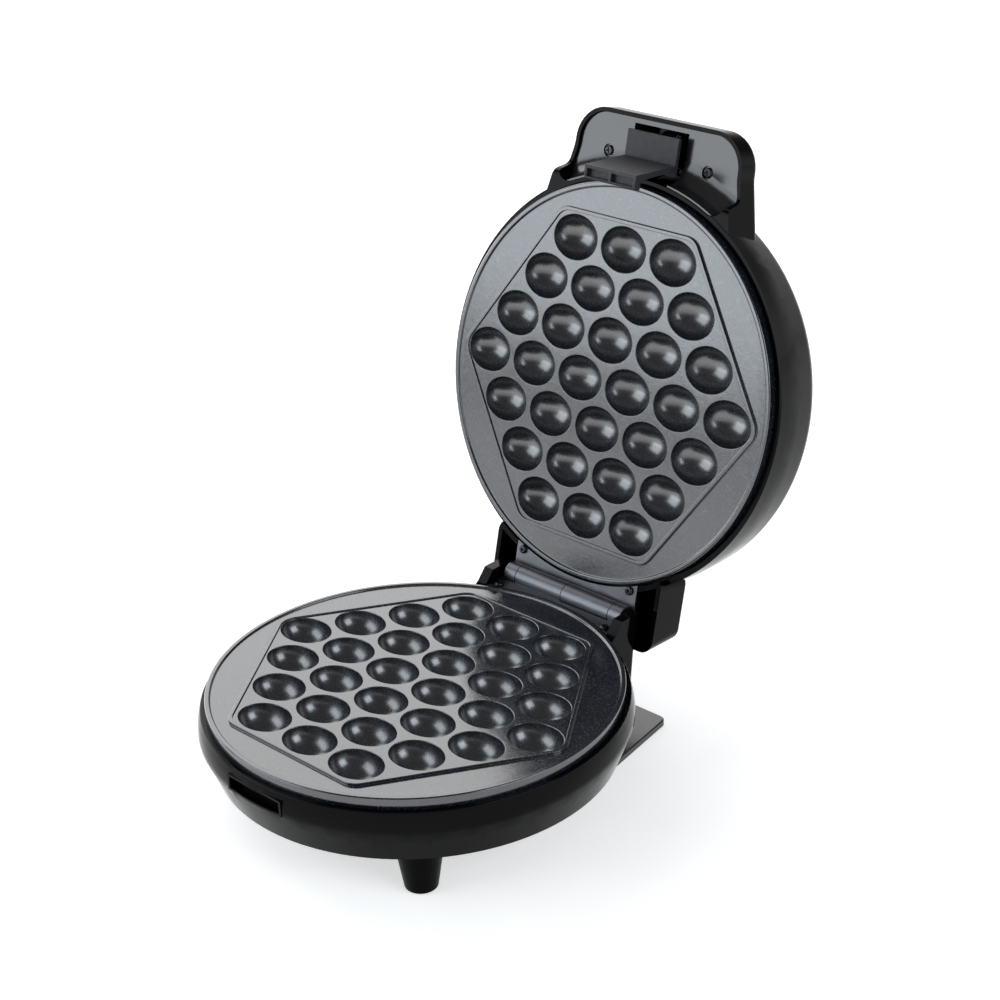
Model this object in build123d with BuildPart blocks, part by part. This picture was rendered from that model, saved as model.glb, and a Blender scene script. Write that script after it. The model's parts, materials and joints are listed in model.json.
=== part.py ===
"""Bubble waffle maker: a round hinged cooking iron with two plates of oval cups.

The machine is drawn shut, about the centre of the lower plate. X runs along the hinge, Y from the
handle towards the hinge and Z up, with zero at the land between the lower plate's cups. The lid's
pieces are turned open about the hinge at the end, and the whole machine is then stood on Z = 0.
"""
from build123d import *
from math import cos, radians, sin, sqrt
import os

os.makedirs("parts", exist_ok=True)

# Cooking plates
plate_radius = 95.0
plate_flange_thickness = 5.5
plate_body_radius = plate_radius - 6.5
plate_floor = 2.5
lip_width = 2.4
lip_height = 1.1
lip_round = 0.7
brim_drop = 0.8
cup_pitch = 29.2
cup_row_pitch = 21.55
cup_half_length = 13.3
cup_half_width = 10.7
cup_depth = 10.7
cups_in_rows = (3, 4, 5, 6, 5, 4, 3)
plate_boss_radius = 5.0
plate_screw_circle = plate_radius - 16.0
plate_screw_start = 45

# Hexagonal bead round the cups
bead_side_y = 3 * cup_row_pitch + 12.65
bead_side_half_length = 38.8
bead_point_x = 2.5 * cup_pitch + 15.8
bead_width = 2.0
bead_height = 0.9
bead_round = 0.7
bead_corner_radius = 5.5

# Hinge
closed_gap = 5.0
open_angle = 103.7
hinge_y = plate_radius + 8.8
hinge_rise = 1.4
barrel_radius = 5.5
pin_radius = 2.4
pin_recess = 1.0
long_knuckle = 29.5
barrel_half_length = 36.7
leaf_thickness = 2.0
leaf_half_width = 38.0
leaf_edge_gap = 0.9
leaf_screw_x = 33.8
leaf_screw_y = sqrt((plate_radius + 2.8) ** 2 - leaf_screw_x**2)
pin_end_chamfer = 0.4

# Housings
wall = 2.5
base_rim_gap = 0.7
lid_rim_gap = 1.2
base_rim_drop = 4.7
base_rim_round = 0.8
base_shoulder_radius = plate_radius + 2.3
base_belt_radius = plate_radius + 4.05
base_belt_drop = 15.3
base_belt_round = 6.0
base_bottom_drop = 31.3
base_bottom_radius = plate_radius - 2.0
base_bottom_round = 1.5
rim_edge_round = 0.6
lid_rim_rise = 3.9
lid_rim_radius = plate_radius + 3.75
lid_shoulder_radius = plate_radius - 0.8
lid_top_rise = 40.0
lid_crown = 1.2
lid_corner_radius = 11.0
lid_waist_radius = plate_radius + 3.1
lid_waist_rise = 15.6
lid_waist_round = 30.0
lid_taper_step = 0.6
seat_depth = 7.0
seat_end_y = hinge_y - 4.3
ledge_thickness = 2.0
ledge_gap = 0.5
cover_thickness = 2.2
cover_gap = 0.3
cover_step = 0.8
cover_boss_circle = base_bottom_radius - 8.5
cover_boss_radius = 4.0
cover_boss_height = 5.0
cover_boss_start = 10
cover_rib_thickness = 2.0
vent_middle_y = -18.0
vent_pitch = 7.0
vent_count = 7
vent_length = 46.0
vent_width = 3.0

# Feet and rear stand
table_drop = 52.8
foot_circle = base_bottom_radius - 11.3
foot_top_radius = 10.7
foot_bottom_radius = 7.35
foot_screw_depth = 6.0
foot_edge_round = 0.8
pad_radius = 5.5
pad_thickness = 2.0
pad_stand_out = 0.5
stand_thickness = 3.2
stand_edge_chamfer = 0.5
stand_rear_y = hinge_y + 7.2
stand_front_y = hinge_y - 41.8
stand_rear_half_width = 55.5
stand_front_half_width = 62.5
stand_corner_radius = 3.5
stem_half_width = 38.0
stem_front_y = hinge_y - 10.2
stem_rear_y = hinge_y - 4.2
stem_rib_thickness = 3.0
stem_rib_top = 3.0
stand_screw_x = 24.0
stand_screw_length = 20.0
stand_screw_recess = 8.0

# Tower at the back of the base, which carries the hinge
tower_half_width = 44.0
tower_front_y = hinge_y - 23.8
tower_rear_y = hinge_y - 0.9
tower_lean_top = -8.0
tower_lean = 0.115
tower_corner_radius = 3.0
cheek_inner_x = 38.5
cheek_top = 6.4
cheek_rear_y = hinge_y + 1.0
cheek_front_y = hinge_y - 11.0
cheek_foot_y = hinge_y - 16.0
cheek_foot_rise = 0.8

# Rear block of the lid, which covers the hinge
block_half_width = 51.6
block_end_y = hinge_y + 15.1
block_end_lean = 3.9
block_depth = 21.0
block_corner_radius = 7.0
block_edge_radius = 2.5

# Handle
handle_tip_y = -plate_radius - 30.5
handle_half_width = 49.0
handle_flare = 0.2275
handle_flank_y = -plate_radius - 11.0
handle_corner_radius = 17.0
handle_rim_rise = 14.0
handle_rim_straight_y = -plate_radius - 4.0
handle_rim_foot_y = -plate_radius + 5.0
handle_top_rise = 27.5
handle_wall = 2.0
handle_flank_round = 20.0
handle_edge_radius = 4.0
opening_corner_radius = 6.5
opening_ring_step = 0.9
panel_rise = 15.5
panel_thickness = 2.0
panel_gap = 0.3
panel_foot_rise = 4.5
panel_foot_thickness = 0.8
handle_screw_x = 29.3
handle_screw_y = -plate_radius - 10.8
handle_boss_radius = 4.0
panel_screw_sink = 1.0

# Latch
latch_half_width = 15.1
latch_pivot_y = -plate_radius - 8.6
latch_pivot_rise = 14.0
latch_face_rise = 9.7
latch_thumb_end_y = -plate_radius - 23.5
latch_thumb_thickness = 2.0
latch_arm_outer_y = -plate_radius - 6.9
latch_arm_inner_y = -plate_radius - 4.5
latch_hook_y = -plate_radius - 0.1
latch_arm_lean = 4.3
latch_root_round = 3.0
latch_end_rise = -18.0
latch_hook_height = 4.0
latch_pocket_depth = 2.4
latch_wall = 1.5
latch_barrel_radius = 2.6
latch_pin_radius = 1.2
latch_slot_half_width = 16.0
latch_slot_end_y = -plate_radius - 26.0
latch_barrel_half_length = 12.5
lug_outer_x = 15.7
lug_radius = 2.1
spring_thickness = 0.4
spring_half_width = 4.0
spring_back = 10.5
spring_bow = 1.5
spring_reach = 5.0
hook_pocket_wall = 1.2
hook_pocket_gap = 1.2
hook_pocket_side_gap = 0.6
hook_pocket_end_gap = 0.9

# Heating elements, shields and what hangs from them
element_radius = 3.3
element_circle = 62.0
element_sink = 1.0
element_opening = 44.0
terminal_radius = 1.6
terminal_length = 9.0
shield_thickness = 0.8
shield_radius = plate_body_radius + 1.9
shield_flange_radius = plate_body_radius + 3.8
shield_drop = 19.7
thermostat_radius = 8.2
thermostat_height = 6.0
thermostat_edge_chamfer = 0.8
fuse_radius = 2.0
fuse_length = 14.0
fuse_wire_length = 30.8
fuse_wire_radius = 0.6
fuse_x = 34.0
tab_length = 9.0
tab_width = 6.3
tab_thickness = 0.8
tab_drop = 4.2
block_y = 52.0
block_length = 30.0
block_width = 14.0
block_height = 7.5
block_screw_pitch = 10.0
block_screw_radius = 2.6
block_screw_depth = 3.0

# Screws and running clearances
screw_head_radius = 2.75
hinge_screw_head_radius = 2.2
screw_bite = 4.5
screw_head_height = 1.4
screw_edge_round = 0.56
screw_slot_reach = 1.3
screw_shank_radius = 1.4
screw_recess_width = 0.55
screw_hole_gap = 0.05
running_gap = 0.05
moving_gap = 0.4
knuckle_gap = 0.15
screw_end_gap = 0.5
cut_over = 1.0

# Mains inlet
gland_drop = 23.6
gland_flange_radius = 6.6
gland_flange_thickness = 2.0
gland_body_radius = 5.0
gland_tip_radius = 4.3
gland_length = 9.0
gland_bore_radius = 3.3
gland_seat_depth = 0.8
gland_tail = 9.5

# Indicator lamps on the lid
lamp_x = 9.0
lamp_y = 33.0 - plate_radius
lamp_lens_radius = 3.4
lamp_radius = 2.2
lamp_length = 11.0
lamp_lens_length = 5.0
lamp_lens_back = 1.0
lens_edge_round = 0.8
lamp_end_round = 1.2

# Sizes worked out from those above
plate_body_depth = cup_depth + plate_floor
ledge_radius = plate_body_radius + ledge_gap
ledge_bottom = plate_flange_thickness + ledge_thickness
hinge_axis = Axis((0, hinge_y, hinge_rise), (1, 0, 0))
shut_plane = Plane.XY.offset(closed_gap / 2)
turn_over_axis = Axis((0, 0, closed_gap / 2), (1, 0, 0))
screw_hole_radius = screw_shank_radius + screw_hole_gap
cover_radius = base_bottom_radius - wall - cover_gap
cover_top = base_bottom_drop - cover_thickness
foot_x = foot_circle * cos(radians(45))
element_level = element_sink - plate_body_depth - element_radius
base_rim_inner = plate_radius + base_rim_gap
lid_rim_inner = plate_radius + lid_rim_gap
tower_bottom_rear_y = tower_rear_y - tower_lean * (base_bottom_drop + tower_lean_top)
pocket_bottom = closed_gap + latch_end_rise - hook_pocket_gap
pocket_half_width = latch_half_width + hook_pocket_side_gap
panel_cove_radius = panel_rise - panel_foot_rise
opening_ring_radius = lid_rim_radius - opening_ring_step
handle_rim_foot_rise = lid_rim_rise + rim_edge_round / 2
handle_root_y = -sqrt((plate_radius + 0.65) ** 2 - (handle_half_width + 6.4) ** 2)
handle_root_half_width = handle_half_width + handle_flare * (handle_root_y - handle_flank_y)
big = 400.0
cover_rib_length = base_bottom_radius + 0.5 - cover_boss_circle
stem_middle_y = (stem_front_y + stem_rear_y) / 2
stand_screw_bite = stand_screw_length - (table_drop - base_bottom_drop - stand_screw_recess)
gland_seat_y = tower_rear_y - tower_lean * (gland_drop + tower_lean_top) - gland_seat_depth

pieces = {}


def finish(piece, label, on_lid=False):
    """Keeps a finished piece under its name, and turns one of the lid's to the open rest pose."""
    shape = piece.part
    if on_lid:
        shape = shape.rotate(hinge_axis, -open_angle)
    pieces[label] = shape


def lid_level(rise):
    """Height of a level of the shut lid, counted up from the land of the upper plate."""
    return closed_gap + rise


def make_screw(length, head_radius=screw_head_radius):
    """A pan-head screw pointing down, its head standing on Z = 0, with a cross recess."""
    with BuildPart() as screw:
        Cylinder(head_radius, screw_head_height, align=(Align.CENTER, Align.CENTER, Align.MIN))
        fillet(screw.faces().sort_by(Axis.Z)[-1].edges(), screw_edge_round)
        with Locations((0, 0, screw_head_height)):
            for turn in (0, 90):
                Box(
                    head_radius * screw_slot_reach,
                    screw_recess_width,
                    screw_recess_width * 2,
                    rotation=(0, 0, turn),
                    mode=Mode.SUBTRACT,
                )
        Cylinder(screw_shank_radius, length, align=(Align.CENTER, Align.CENTER, Align.MAX))
    return screw.part


def hexagon(half_side_y):
    """The rounded hexagon of the bead, scaled so that its flat sides lie at a given Y."""
    scale = half_side_y / bead_side_y
    side = bead_side_half_length * scale
    point = bead_point_x * scale
    with BuildSketch() as outline:
        Polygon(
            (point, 0),
            (side, half_side_y),
            (-side, half_side_y),
            (-point, 0),
            (-side, -half_side_y),
            (side, -half_side_y),
            align=None,
        )
        fillet(outline.vertices(), bead_corner_radius)
    return outline.sketch


# One cup is half an ellipse turned half round about its long axis, with room above its mouth
with BuildPart() as cup_form:
    with BuildSketch() as cup_outline:
        Ellipse(cup_half_length, cup_half_width)
        with Locations((0, -cup_half_width)):
            Rectangle(3 * cup_half_length, 2 * cup_half_width, mode=Mode.SUBTRACT)
    revolve(axis=Axis.X, revolution_arc=-180)
    with BuildSketch():
        Ellipse(cup_half_length, cup_half_width)
    extrude(amount=bead_height + cut_over)

cup_places = []
for row, count in enumerate(cups_in_rows):
    row_y = (len(cups_in_rows) // 2 - row) * cup_row_pitch
    for place in range(count):
        cup_places.append(((place - (count - 1) / 2) * cup_pitch, row_y, 0))

# The lower plate is one casting: flange, body, lip, hexagonal land, bead, cups and screw bosses
with BuildPart() as lower_plate:
    with BuildSketch(Plane.XZ) as plate_section:
        with BuildLine():
            Polyline(
                (0, -plate_body_depth),
                (plate_body_radius, -plate_body_depth),
                (plate_body_radius, -plate_flange_thickness),
                (plate_radius, -plate_flange_thickness),
                (plate_radius, lip_height - brim_drop),
                (plate_radius - lip_width, lip_height - brim_drop),
                (plate_radius - lip_width, -brim_drop),
                (0, -brim_drop),
                close=True,
            )
        make_face()
        fillet(plate_section.vertices().group_by(Axis.Y)[-1], lip_round)
    revolve(axis=Axis.Z)
    with BuildSketch(Plane.XY.offset(-brim_drop)):
        add(hexagon(bead_side_y))
    extrude(amount=brim_drop)
    with BuildSketch(Plane.XY.offset(-brim_drop)):
        add(hexagon(bead_side_y + bead_width / 2))
        add(hexagon(bead_side_y - bead_width / 2), mode=Mode.SUBTRACT)
    extrude(amount=brim_drop + bead_height)
    fillet(lower_plate.faces().sort_by(Axis.Z)[-1].edges(), bead_round)
    with Locations(*cup_places):
        add(cup_form.part, mode=Mode.SUBTRACT)
    with BuildSketch(Plane.XY.offset(-plate_body_depth)):
        Circle(thermostat_radius)
        with PolarLocations(plate_screw_circle, 4, plate_screw_start):
            Circle(plate_boss_radius)
    extrude(amount=plate_body_depth - shield_drop)
    with BuildSketch(Plane.XY.offset(-shield_drop)):
        with PolarLocations(plate_screw_circle, 4, plate_screw_start):
            Circle(screw_hole_radius)
    extrude(amount=shield_drop - plate_body_depth + plate_floor / 2, mode=Mode.SUBTRACT)
    with BuildSketch(Plane((element_circle, 0, element_level), z_dir=(0, 1, 0))):
        Circle(element_radius)
    revolve(axis=Axis.Z, mode=Mode.SUBTRACT)
finish(lower_plate, "lower_plate")

# The upper plate is the same casting turned over
with BuildPart() as upper_plate:
    add(lower_plate.part.rotate(turn_over_axis, 180))
finish(upper_plate, "upper_plate", on_lid=True)

# The tubular element lies in a groove under the plate, open at the back, with a cold pin at each end
start_turn = radians(90 - element_opening / 2)
start_point = (element_circle * cos(start_turn), element_circle * sin(start_turn), element_level)
with BuildPart() as lower_heating_element:
    with BuildSketch(Plane(start_point, z_dir=(-sin(start_turn), cos(start_turn), 0))):
        Circle(element_radius)
    revolve(axis=Axis.Z, revolution_arc=element_opening - 360)
    for cold_end in lower_heating_element.faces().filter_by(GeomType.PLANE):
        with BuildSketch(Plane(cold_end)):
            Circle(terminal_radius)
        extrude(amount=terminal_length)
finish(lower_heating_element, "lower_heating_element")

with BuildPart() as upper_heating_element:
    mirror(lower_heating_element.part, about=shut_plane)
finish(upper_heating_element, "upper_heating_element", on_lid=True)

# The heat shield is a pressed dish whose flange is drawn up under the housing's ledge
with BuildPart() as lower_heat_shield:
    with BuildSketch(Plane.XZ):
        with BuildLine():
            Polyline(
                (0, -shield_drop),
                (shield_radius - shield_thickness, -shield_drop),
                (shield_radius - shield_thickness, -ledge_bottom),
                (shield_flange_radius, -ledge_bottom),
                (shield_flange_radius, -ledge_bottom - shield_thickness),
                (shield_radius, -ledge_bottom - shield_thickness),
                (shield_radius, -shield_drop - shield_thickness),
                (0, -shield_drop - shield_thickness),
                close=True,
            )
        make_face()
    revolve(axis=Axis.Z)
    with BuildSketch(Plane.XY.offset(-shield_drop - shield_thickness)):
        with PolarLocations(plate_screw_circle, 4, plate_screw_start):
            Circle(screw_hole_radius)
        Circle(thermostat_radius + moving_gap)
    extrude(amount=shield_thickness, mode=Mode.SUBTRACT)
finish(lower_heat_shield, "lower_heat_shield")

with BuildPart() as upper_heat_shield:
    mirror(lower_heat_shield.part, about=shut_plane)
finish(upper_heat_shield, "upper_heat_shield", on_lid=True)

# Plate screws go up through the shield into the plate's bosses
plate_screw_length = shield_drop + shield_thickness - plate_body_depth
plate_screw = make_screw(plate_screw_length)
with BuildPart() as lower_plate_screws:
    with Locations(Plane.XY.offset(-shield_drop - shield_thickness)):
        with PolarLocations(plate_screw_circle, 4, plate_screw_start):
            add(plate_screw.rotate(Axis.X, 180))
finish(lower_plate_screws, "lower_plate_screws")

with BuildPart() as upper_plate_screws:
    mirror(lower_plate_screws.part, about=shut_plane)
finish(upper_plate_screws, "upper_plate_screws", on_lid=True)

# The thermostat sits on the plate's centre boss, below the shield's hole
with BuildPart() as thermostat:
    with Locations((0, 0, -shield_drop)):
        Cylinder(
            thermostat_radius, thermostat_height, align=(Align.CENTER, Align.CENTER, Align.MAX)
        )
    chamfer(thermostat.faces().sort_by(Axis.Z)[0].edges(), thermostat_edge_chamfer)
    for side in (-1, 1):
        with Locations((side * thermostat_radius, 0, -shield_drop - tab_drop)):
            Box(tab_length, tab_width, tab_thickness)
finish(thermostat, "thermostat")

with BuildPart() as thermal_fuse:
    with Locations((fuse_x, 0, -shield_drop - shield_thickness - fuse_radius)):
        Cylinder(fuse_radius, fuse_length, rotation=(90, 0, 0))
        Cylinder(fuse_wire_radius, fuse_wire_length, rotation=(90, 0, 0))
finish(thermal_fuse, "thermal_fuse")

# Terminal block on the bottom cover
with BuildPart() as terminal_block:
    with Locations((0, block_y, -cover_top)):
        Box(block_length, block_width, block_height, align=(Align.CENTER, Align.CENTER, Align.MIN))
    with Locations((0, block_y, block_height - cover_top)):
        with GridLocations(block_screw_pitch, 0, 3, 1):
            Cylinder(
                block_screw_radius,
                block_screw_depth,
                align=(Align.CENTER, Align.CENTER, Align.MAX),
                mode=Mode.SUBTRACT,
            )
finish(terminal_block, "terminal_block")

# Round outside of the base, and the space inside it
with BuildPart() as base_round:
    with BuildSketch(Plane.XZ) as base_section:
        with BuildLine():
            shoulder = TangentArc(
                (base_belt_radius, -base_belt_drop),
                (base_shoulder_radius, -base_rim_drop),
                tangent=(0, 1),
            )
            Polyline(
                shoulder @ 1,
                (0, -base_rim_drop),
                (0, -base_bottom_drop),
                (base_bottom_radius, -base_bottom_drop),
                shoulder @ 0,
            )
        make_face()
        outer_corners = base_section.vertices().filter_by(lambda v: v.X > 1).sort_by(Axis.Y)
        fillet(outer_corners[2], base_rim_round)
        fillet(outer_corners[1], base_belt_round)
        fillet(outer_corners[0], base_bottom_round)
    revolve(axis=Axis.Z)

with BuildPart() as base_space:
    with BuildSketch(Plane.XZ):
        with BuildLine():
            Polyline(
                (0, cheek_top + cut_over),
                (base_rim_inner, cheek_top + cut_over),
                (base_rim_inner, -plate_flange_thickness),
                (ledge_radius, -plate_flange_thickness),
                (ledge_radius, -ledge_bottom),
                (base_rim_inner, -ledge_bottom),
                (base_belt_radius - wall, -base_belt_drop),
                (cover_radius + cover_gap + cover_step, -cover_top),
                (cover_radius + cover_gap, -cover_top),
                (cover_radius + cover_gap, -base_bottom_drop),
                (0, -base_bottom_drop),
                close=True,
            )
        make_face()
    revolve(axis=Axis.Z)

# Tower: side view pulled across, its rear face leaning to clear the opened lid
with BuildPart() as tower:
    with BuildSketch(Plane.YZ) as tower_side:
        with BuildLine():
            Polyline(
                (tower_front_y, -base_bottom_drop),
                (tower_bottom_rear_y, -base_bottom_drop),
                (tower_rear_y, tower_lean_top),
                (cheek_rear_y, hinge_rise),
                (cheek_rear_y, cheek_top),
                (cheek_front_y, cheek_top),
                (cheek_foot_y, cheek_foot_rise),
                (tower_front_y, -base_rim_drop),
                close=True,
            )
        make_face()
    extrude(amount=tower_half_width, both=True)
    rear_edges = tower.edges().filter_by(
        lambda e: abs(e.center().X) > tower_half_width - 0.1
        and e.center().Y > tower_front_y + 5
        and e.center().Z < tower_lean_top
        and e.length > 10
        and abs(e.tangent_at(0.5).Z) > 0.5
    )
    fillet(rear_edges, tower_corner_radius)

with BuildPart() as base_housing:
    add(base_round.part)
    add(tower.part)
    # Room between the cheeks for the leaf and the barrel
    with BuildSketch(Plane.XY.offset(-leaf_thickness)):
        with Locations((0, tower_front_y)):
            Rectangle(2 * cheek_inner_x, big, align=(Align.CENTER, Align.MIN))
    extrude(amount=cheek_top + big, mode=Mode.SUBTRACT)
    with BuildSketch(Plane.YZ):
        with Locations((hinge_y, hinge_rise)):
            Circle(barrel_radius + moving_gap)
    extrude(amount=cheek_inner_x, both=True, mode=Mode.SUBTRACT)
    # Back wall of the pocket that takes the latch hook
    add(base_space.part, mode=Mode.SUBTRACT)
    with BuildSketch(Plane.XY.offset(pocket_bottom - hook_pocket_wall)):
        with Locations((0, latch_hook_y + hook_pocket_end_gap + hook_pocket_wall)):
            Rectangle(
                2 * (pocket_half_width + hook_pocket_wall), 2 * wall, align=(Align.CENTER, Align.MAX)
            )
    extrude(amount=hook_pocket_wall - ledge_bottom - pocket_bottom)
    with BuildSketch(Plane.XY.offset(pocket_bottom)):
        with Locations((0, latch_hook_y + hook_pocket_end_gap)):
            Rectangle(2 * pocket_half_width, big, align=(Align.CENTER, Align.MAX))
    extrude(amount=latch_hook_height + hook_pocket_gap + moving_gap, mode=Mode.SUBTRACT)
    # Bosses for the bottom cover's screws, each tied to the wall by a rib
    with BuildSketch(Plane.XY.offset(-cover_top)):
        with PolarLocations(cover_boss_circle, 4, cover_boss_start):
            Circle(cover_boss_radius)
            with Locations((0, 0)):
                Rectangle(cover_rib_length, cover_rib_thickness, align=(Align.MIN, Align.CENTER))
    extrude(amount=cover_boss_height)
    with BuildSketch(Plane.XY.offset(-cover_top)):
        with PolarLocations(cover_boss_circle, 4, cover_boss_start):
            Circle(screw_hole_radius)
    extrude(amount=cover_boss_height - screw_end_gap, mode=Mode.SUBTRACT)
    # Holes for the hinge leaf's screws, the stand's screws and the mains inlet
    with BuildSketch(Plane.XY.offset(-leaf_thickness)):
        with Locations((leaf_screw_x, leaf_screw_y), (-leaf_screw_x, leaf_screw_y)):
            Circle(screw_hole_radius)
    extrude(amount=-screw_bite, mode=Mode.SUBTRACT)
    with BuildSketch(Plane.XY.offset(-base_bottom_drop)):
        with Locations((stand_screw_x, stem_middle_y), (-stand_screw_x, stem_middle_y)):
            Circle(screw_hole_radius)
    extrude(amount=stand_screw_bite, mode=Mode.SUBTRACT)
    with BuildSketch(Plane.XZ.offset(-gland_seat_y)):
        with Locations((0, -gland_drop)):
            Circle(gland_flange_radius + screw_hole_gap)
    extrude(amount=-gland_length, mode=Mode.SUBTRACT)
    with BuildSketch(Plane.XZ.offset(-gland_seat_y)):
        with Locations((0, -gland_drop)):
            Circle(gland_body_radius + screw_hole_gap)
    extrude(amount=gland_seat_y - base_bottom_radius + 2 * wall, mode=Mode.SUBTRACT)
finish(base_housing, "base_housing")

# Bottom cover with its vents and sunk screw seats
with BuildPart() as bottom_cover:
    with BuildSketch(Plane.XY.offset(-base_bottom_drop)):
        Circle(cover_radius)
        with PolarLocations(cover_boss_circle, 4, cover_boss_start):
            Circle(screw_hole_radius, mode=Mode.SUBTRACT)
        with Locations((foot_x, -foot_x), (-foot_x, -foot_x)):
            Circle(screw_hole_radius, mode=Mode.SUBTRACT)
        with Locations((0, vent_middle_y)):
            with GridLocations(0, vent_pitch, 1, vent_count):
                SlotOverall(vent_length, vent_width, mode=Mode.SUBTRACT)
    extrude(amount=cover_thickness)
    with BuildSketch(Plane.XY.offset(-base_bottom_drop)):
        with PolarLocations(cover_boss_circle, 4, cover_boss_start):
            Circle(screw_head_radius + cover_gap)
    extrude(amount=screw_head_height, mode=Mode.SUBTRACT)
finish(bottom_cover, "bottom_cover")

cover_screw = make_screw(cover_thickness - screw_head_height + cover_boss_height - 2 * screw_end_gap)
with BuildPart() as bottom_cover_screws:
    with Locations(Plane.XY.offset(screw_head_height - base_bottom_drop)):
        with PolarLocations(cover_boss_circle, 4, cover_boss_start):
            add(cover_screw.rotate(Axis.X, 180))
finish(bottom_cover_screws, "bottom_cover_screws")

# Front feet: tapered, with a rubber pad let into each
foot_height = table_drop - base_bottom_drop - pad_stand_out
with BuildPart() as front_feet:
    with Locations((foot_x, -foot_x, -base_bottom_drop), (-foot_x, -foot_x, -base_bottom_drop)):
        Cone(
            foot_bottom_radius, foot_top_radius, foot_height, align=(Align.CENTER, Align.CENTER, Align.MAX)
        )
    foot_rims = front_feet.faces().filter_by(Axis.Z).group_by(Axis.Z)[0].edges()
    fillet(foot_rims, foot_edge_round)
    with BuildSketch(Plane.XY.offset(-base_bottom_drop - foot_height)):
        with Locations((foot_x, -foot_x), (-foot_x, -foot_x)):
            Circle(pad_radius)
    extrude(amount=pad_thickness - pad_stand_out, mode=Mode.SUBTRACT)
    with BuildSketch(Plane.XY.offset(-base_bottom_drop)):
        with Locations((foot_x, -foot_x), (-foot_x, -foot_x)):
            Circle(screw_hole_radius)
    extrude(amount=-foot_screw_depth, mode=Mode.SUBTRACT)
finish(front_feet, "front_feet")

with BuildPart() as foot_pads:
    with BuildSketch(Plane.XY.offset(-table_drop)):
        with Locations((foot_x, -foot_x), (-foot_x, -foot_x)):
            Circle(pad_radius)
    extrude(amount=pad_thickness)
finish(foot_pads, "foot_pads")

foot_screw = make_screw(cover_thickness + foot_screw_depth - screw_end_gap)
with BuildPart() as foot_screws:
    with Locations((foot_x, -foot_x, -cover_top), (-foot_x, -foot_x, -cover_top)):
        add(foot_screw)
finish(foot_screws, "foot_screws")

# Rear stand: a broad plate that keeps the opened machine from tipping, hung from the tower
with BuildPart() as rear_stand:
    with BuildSketch(Plane.XY.offset(-table_drop)) as stand_plan:
        Polygon(
            (-stand_front_half_width, stand_front_y),
            (stand_front_half_width, stand_front_y),
            (stand_rear_half_width, stand_rear_y),
            (-stand_rear_half_width, stand_rear_y),
            align=None,
        )
        fillet(stand_plan.vertices(), stand_corner_radius)
    extrude(amount=stand_thickness)
    chamfer(rear_stand.faces().sort_by(Axis.Z)[-1].edges(), stand_edge_chamfer)
    with BuildSketch(Plane.XY.offset(stand_thickness - table_drop)):
        with Locations((0, stem_front_y)):
            Rectangle(2 * stem_half_width, stem_rear_y - stem_front_y, align=(Align.CENTER, Align.MIN))
    extrude(amount=table_drop - base_bottom_drop - stand_thickness)
    for side in (-1, 0, 1):
        rib_x = side * (stem_half_width - stem_rib_thickness / 2)
        with BuildSketch(Plane.YZ.offset(rib_x)):
            Polygon(
                (stem_front_y, stand_thickness - table_drop),
                (stem_front_y, -base_bottom_drop),
                (stem_front_y - stem_rib_top, -base_bottom_drop),
                (stand_front_y + 2 * stem_rib_top, stand_thickness - table_drop),
                align=None,
            )
        extrude(amount=stem_rib_thickness / 2, both=True)
    with BuildSketch(Plane.XY.offset(-table_drop)):
        with Locations((stand_screw_x, stem_middle_y), (-stand_screw_x, stem_middle_y)):
            Circle(screw_head_radius)
    extrude(amount=stand_screw_recess, mode=Mode.SUBTRACT)
    with BuildSketch(Plane.XY.offset(-table_drop)):
        with Locations((stand_screw_x, stem_middle_y), (-stand_screw_x, stem_middle_y)):
            Circle(screw_hole_radius)
    extrude(amount=table_drop - base_bottom_drop, mode=Mode.SUBTRACT)
finish(rear_stand, "rear_stand")

stand_screw = make_screw(stand_screw_length - screw_end_gap, screw_head_radius - screw_hole_gap)
with BuildPart() as rear_stand_screws:
    for side in (-1, 1):
        with Locations((side * stand_screw_x, stem_middle_y, stand_screw_recess - table_drop)):
            add(stand_screw.rotate(Axis.X, 180))
finish(rear_stand_screws, "rear_stand_screws")

# Mains inlet: a flanged bush in the back of the tower
with BuildPart() as cord_gland:
    with BuildSketch(Plane.YZ):
        with BuildLine():
            Polyline(
                (gland_seat_y - gland_tail, gland_bore_radius),
                (gland_seat_y - gland_tail, gland_body_radius),
                (gland_seat_y, gland_body_radius),
                (gland_seat_y, gland_flange_radius),
                (gland_seat_y + gland_flange_thickness, gland_flange_radius),
                (gland_seat_y + gland_flange_thickness, gland_body_radius),
                (gland_seat_y + gland_length, gland_tip_radius),
                (gland_seat_y + gland_length, gland_bore_radius),
                close=True,
            )
        make_face()
    revolve(axis=Axis.Y)
cord_gland.part.position = (0, 0, -gland_drop)
finish(cord_gland, "cord_gland")


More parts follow.
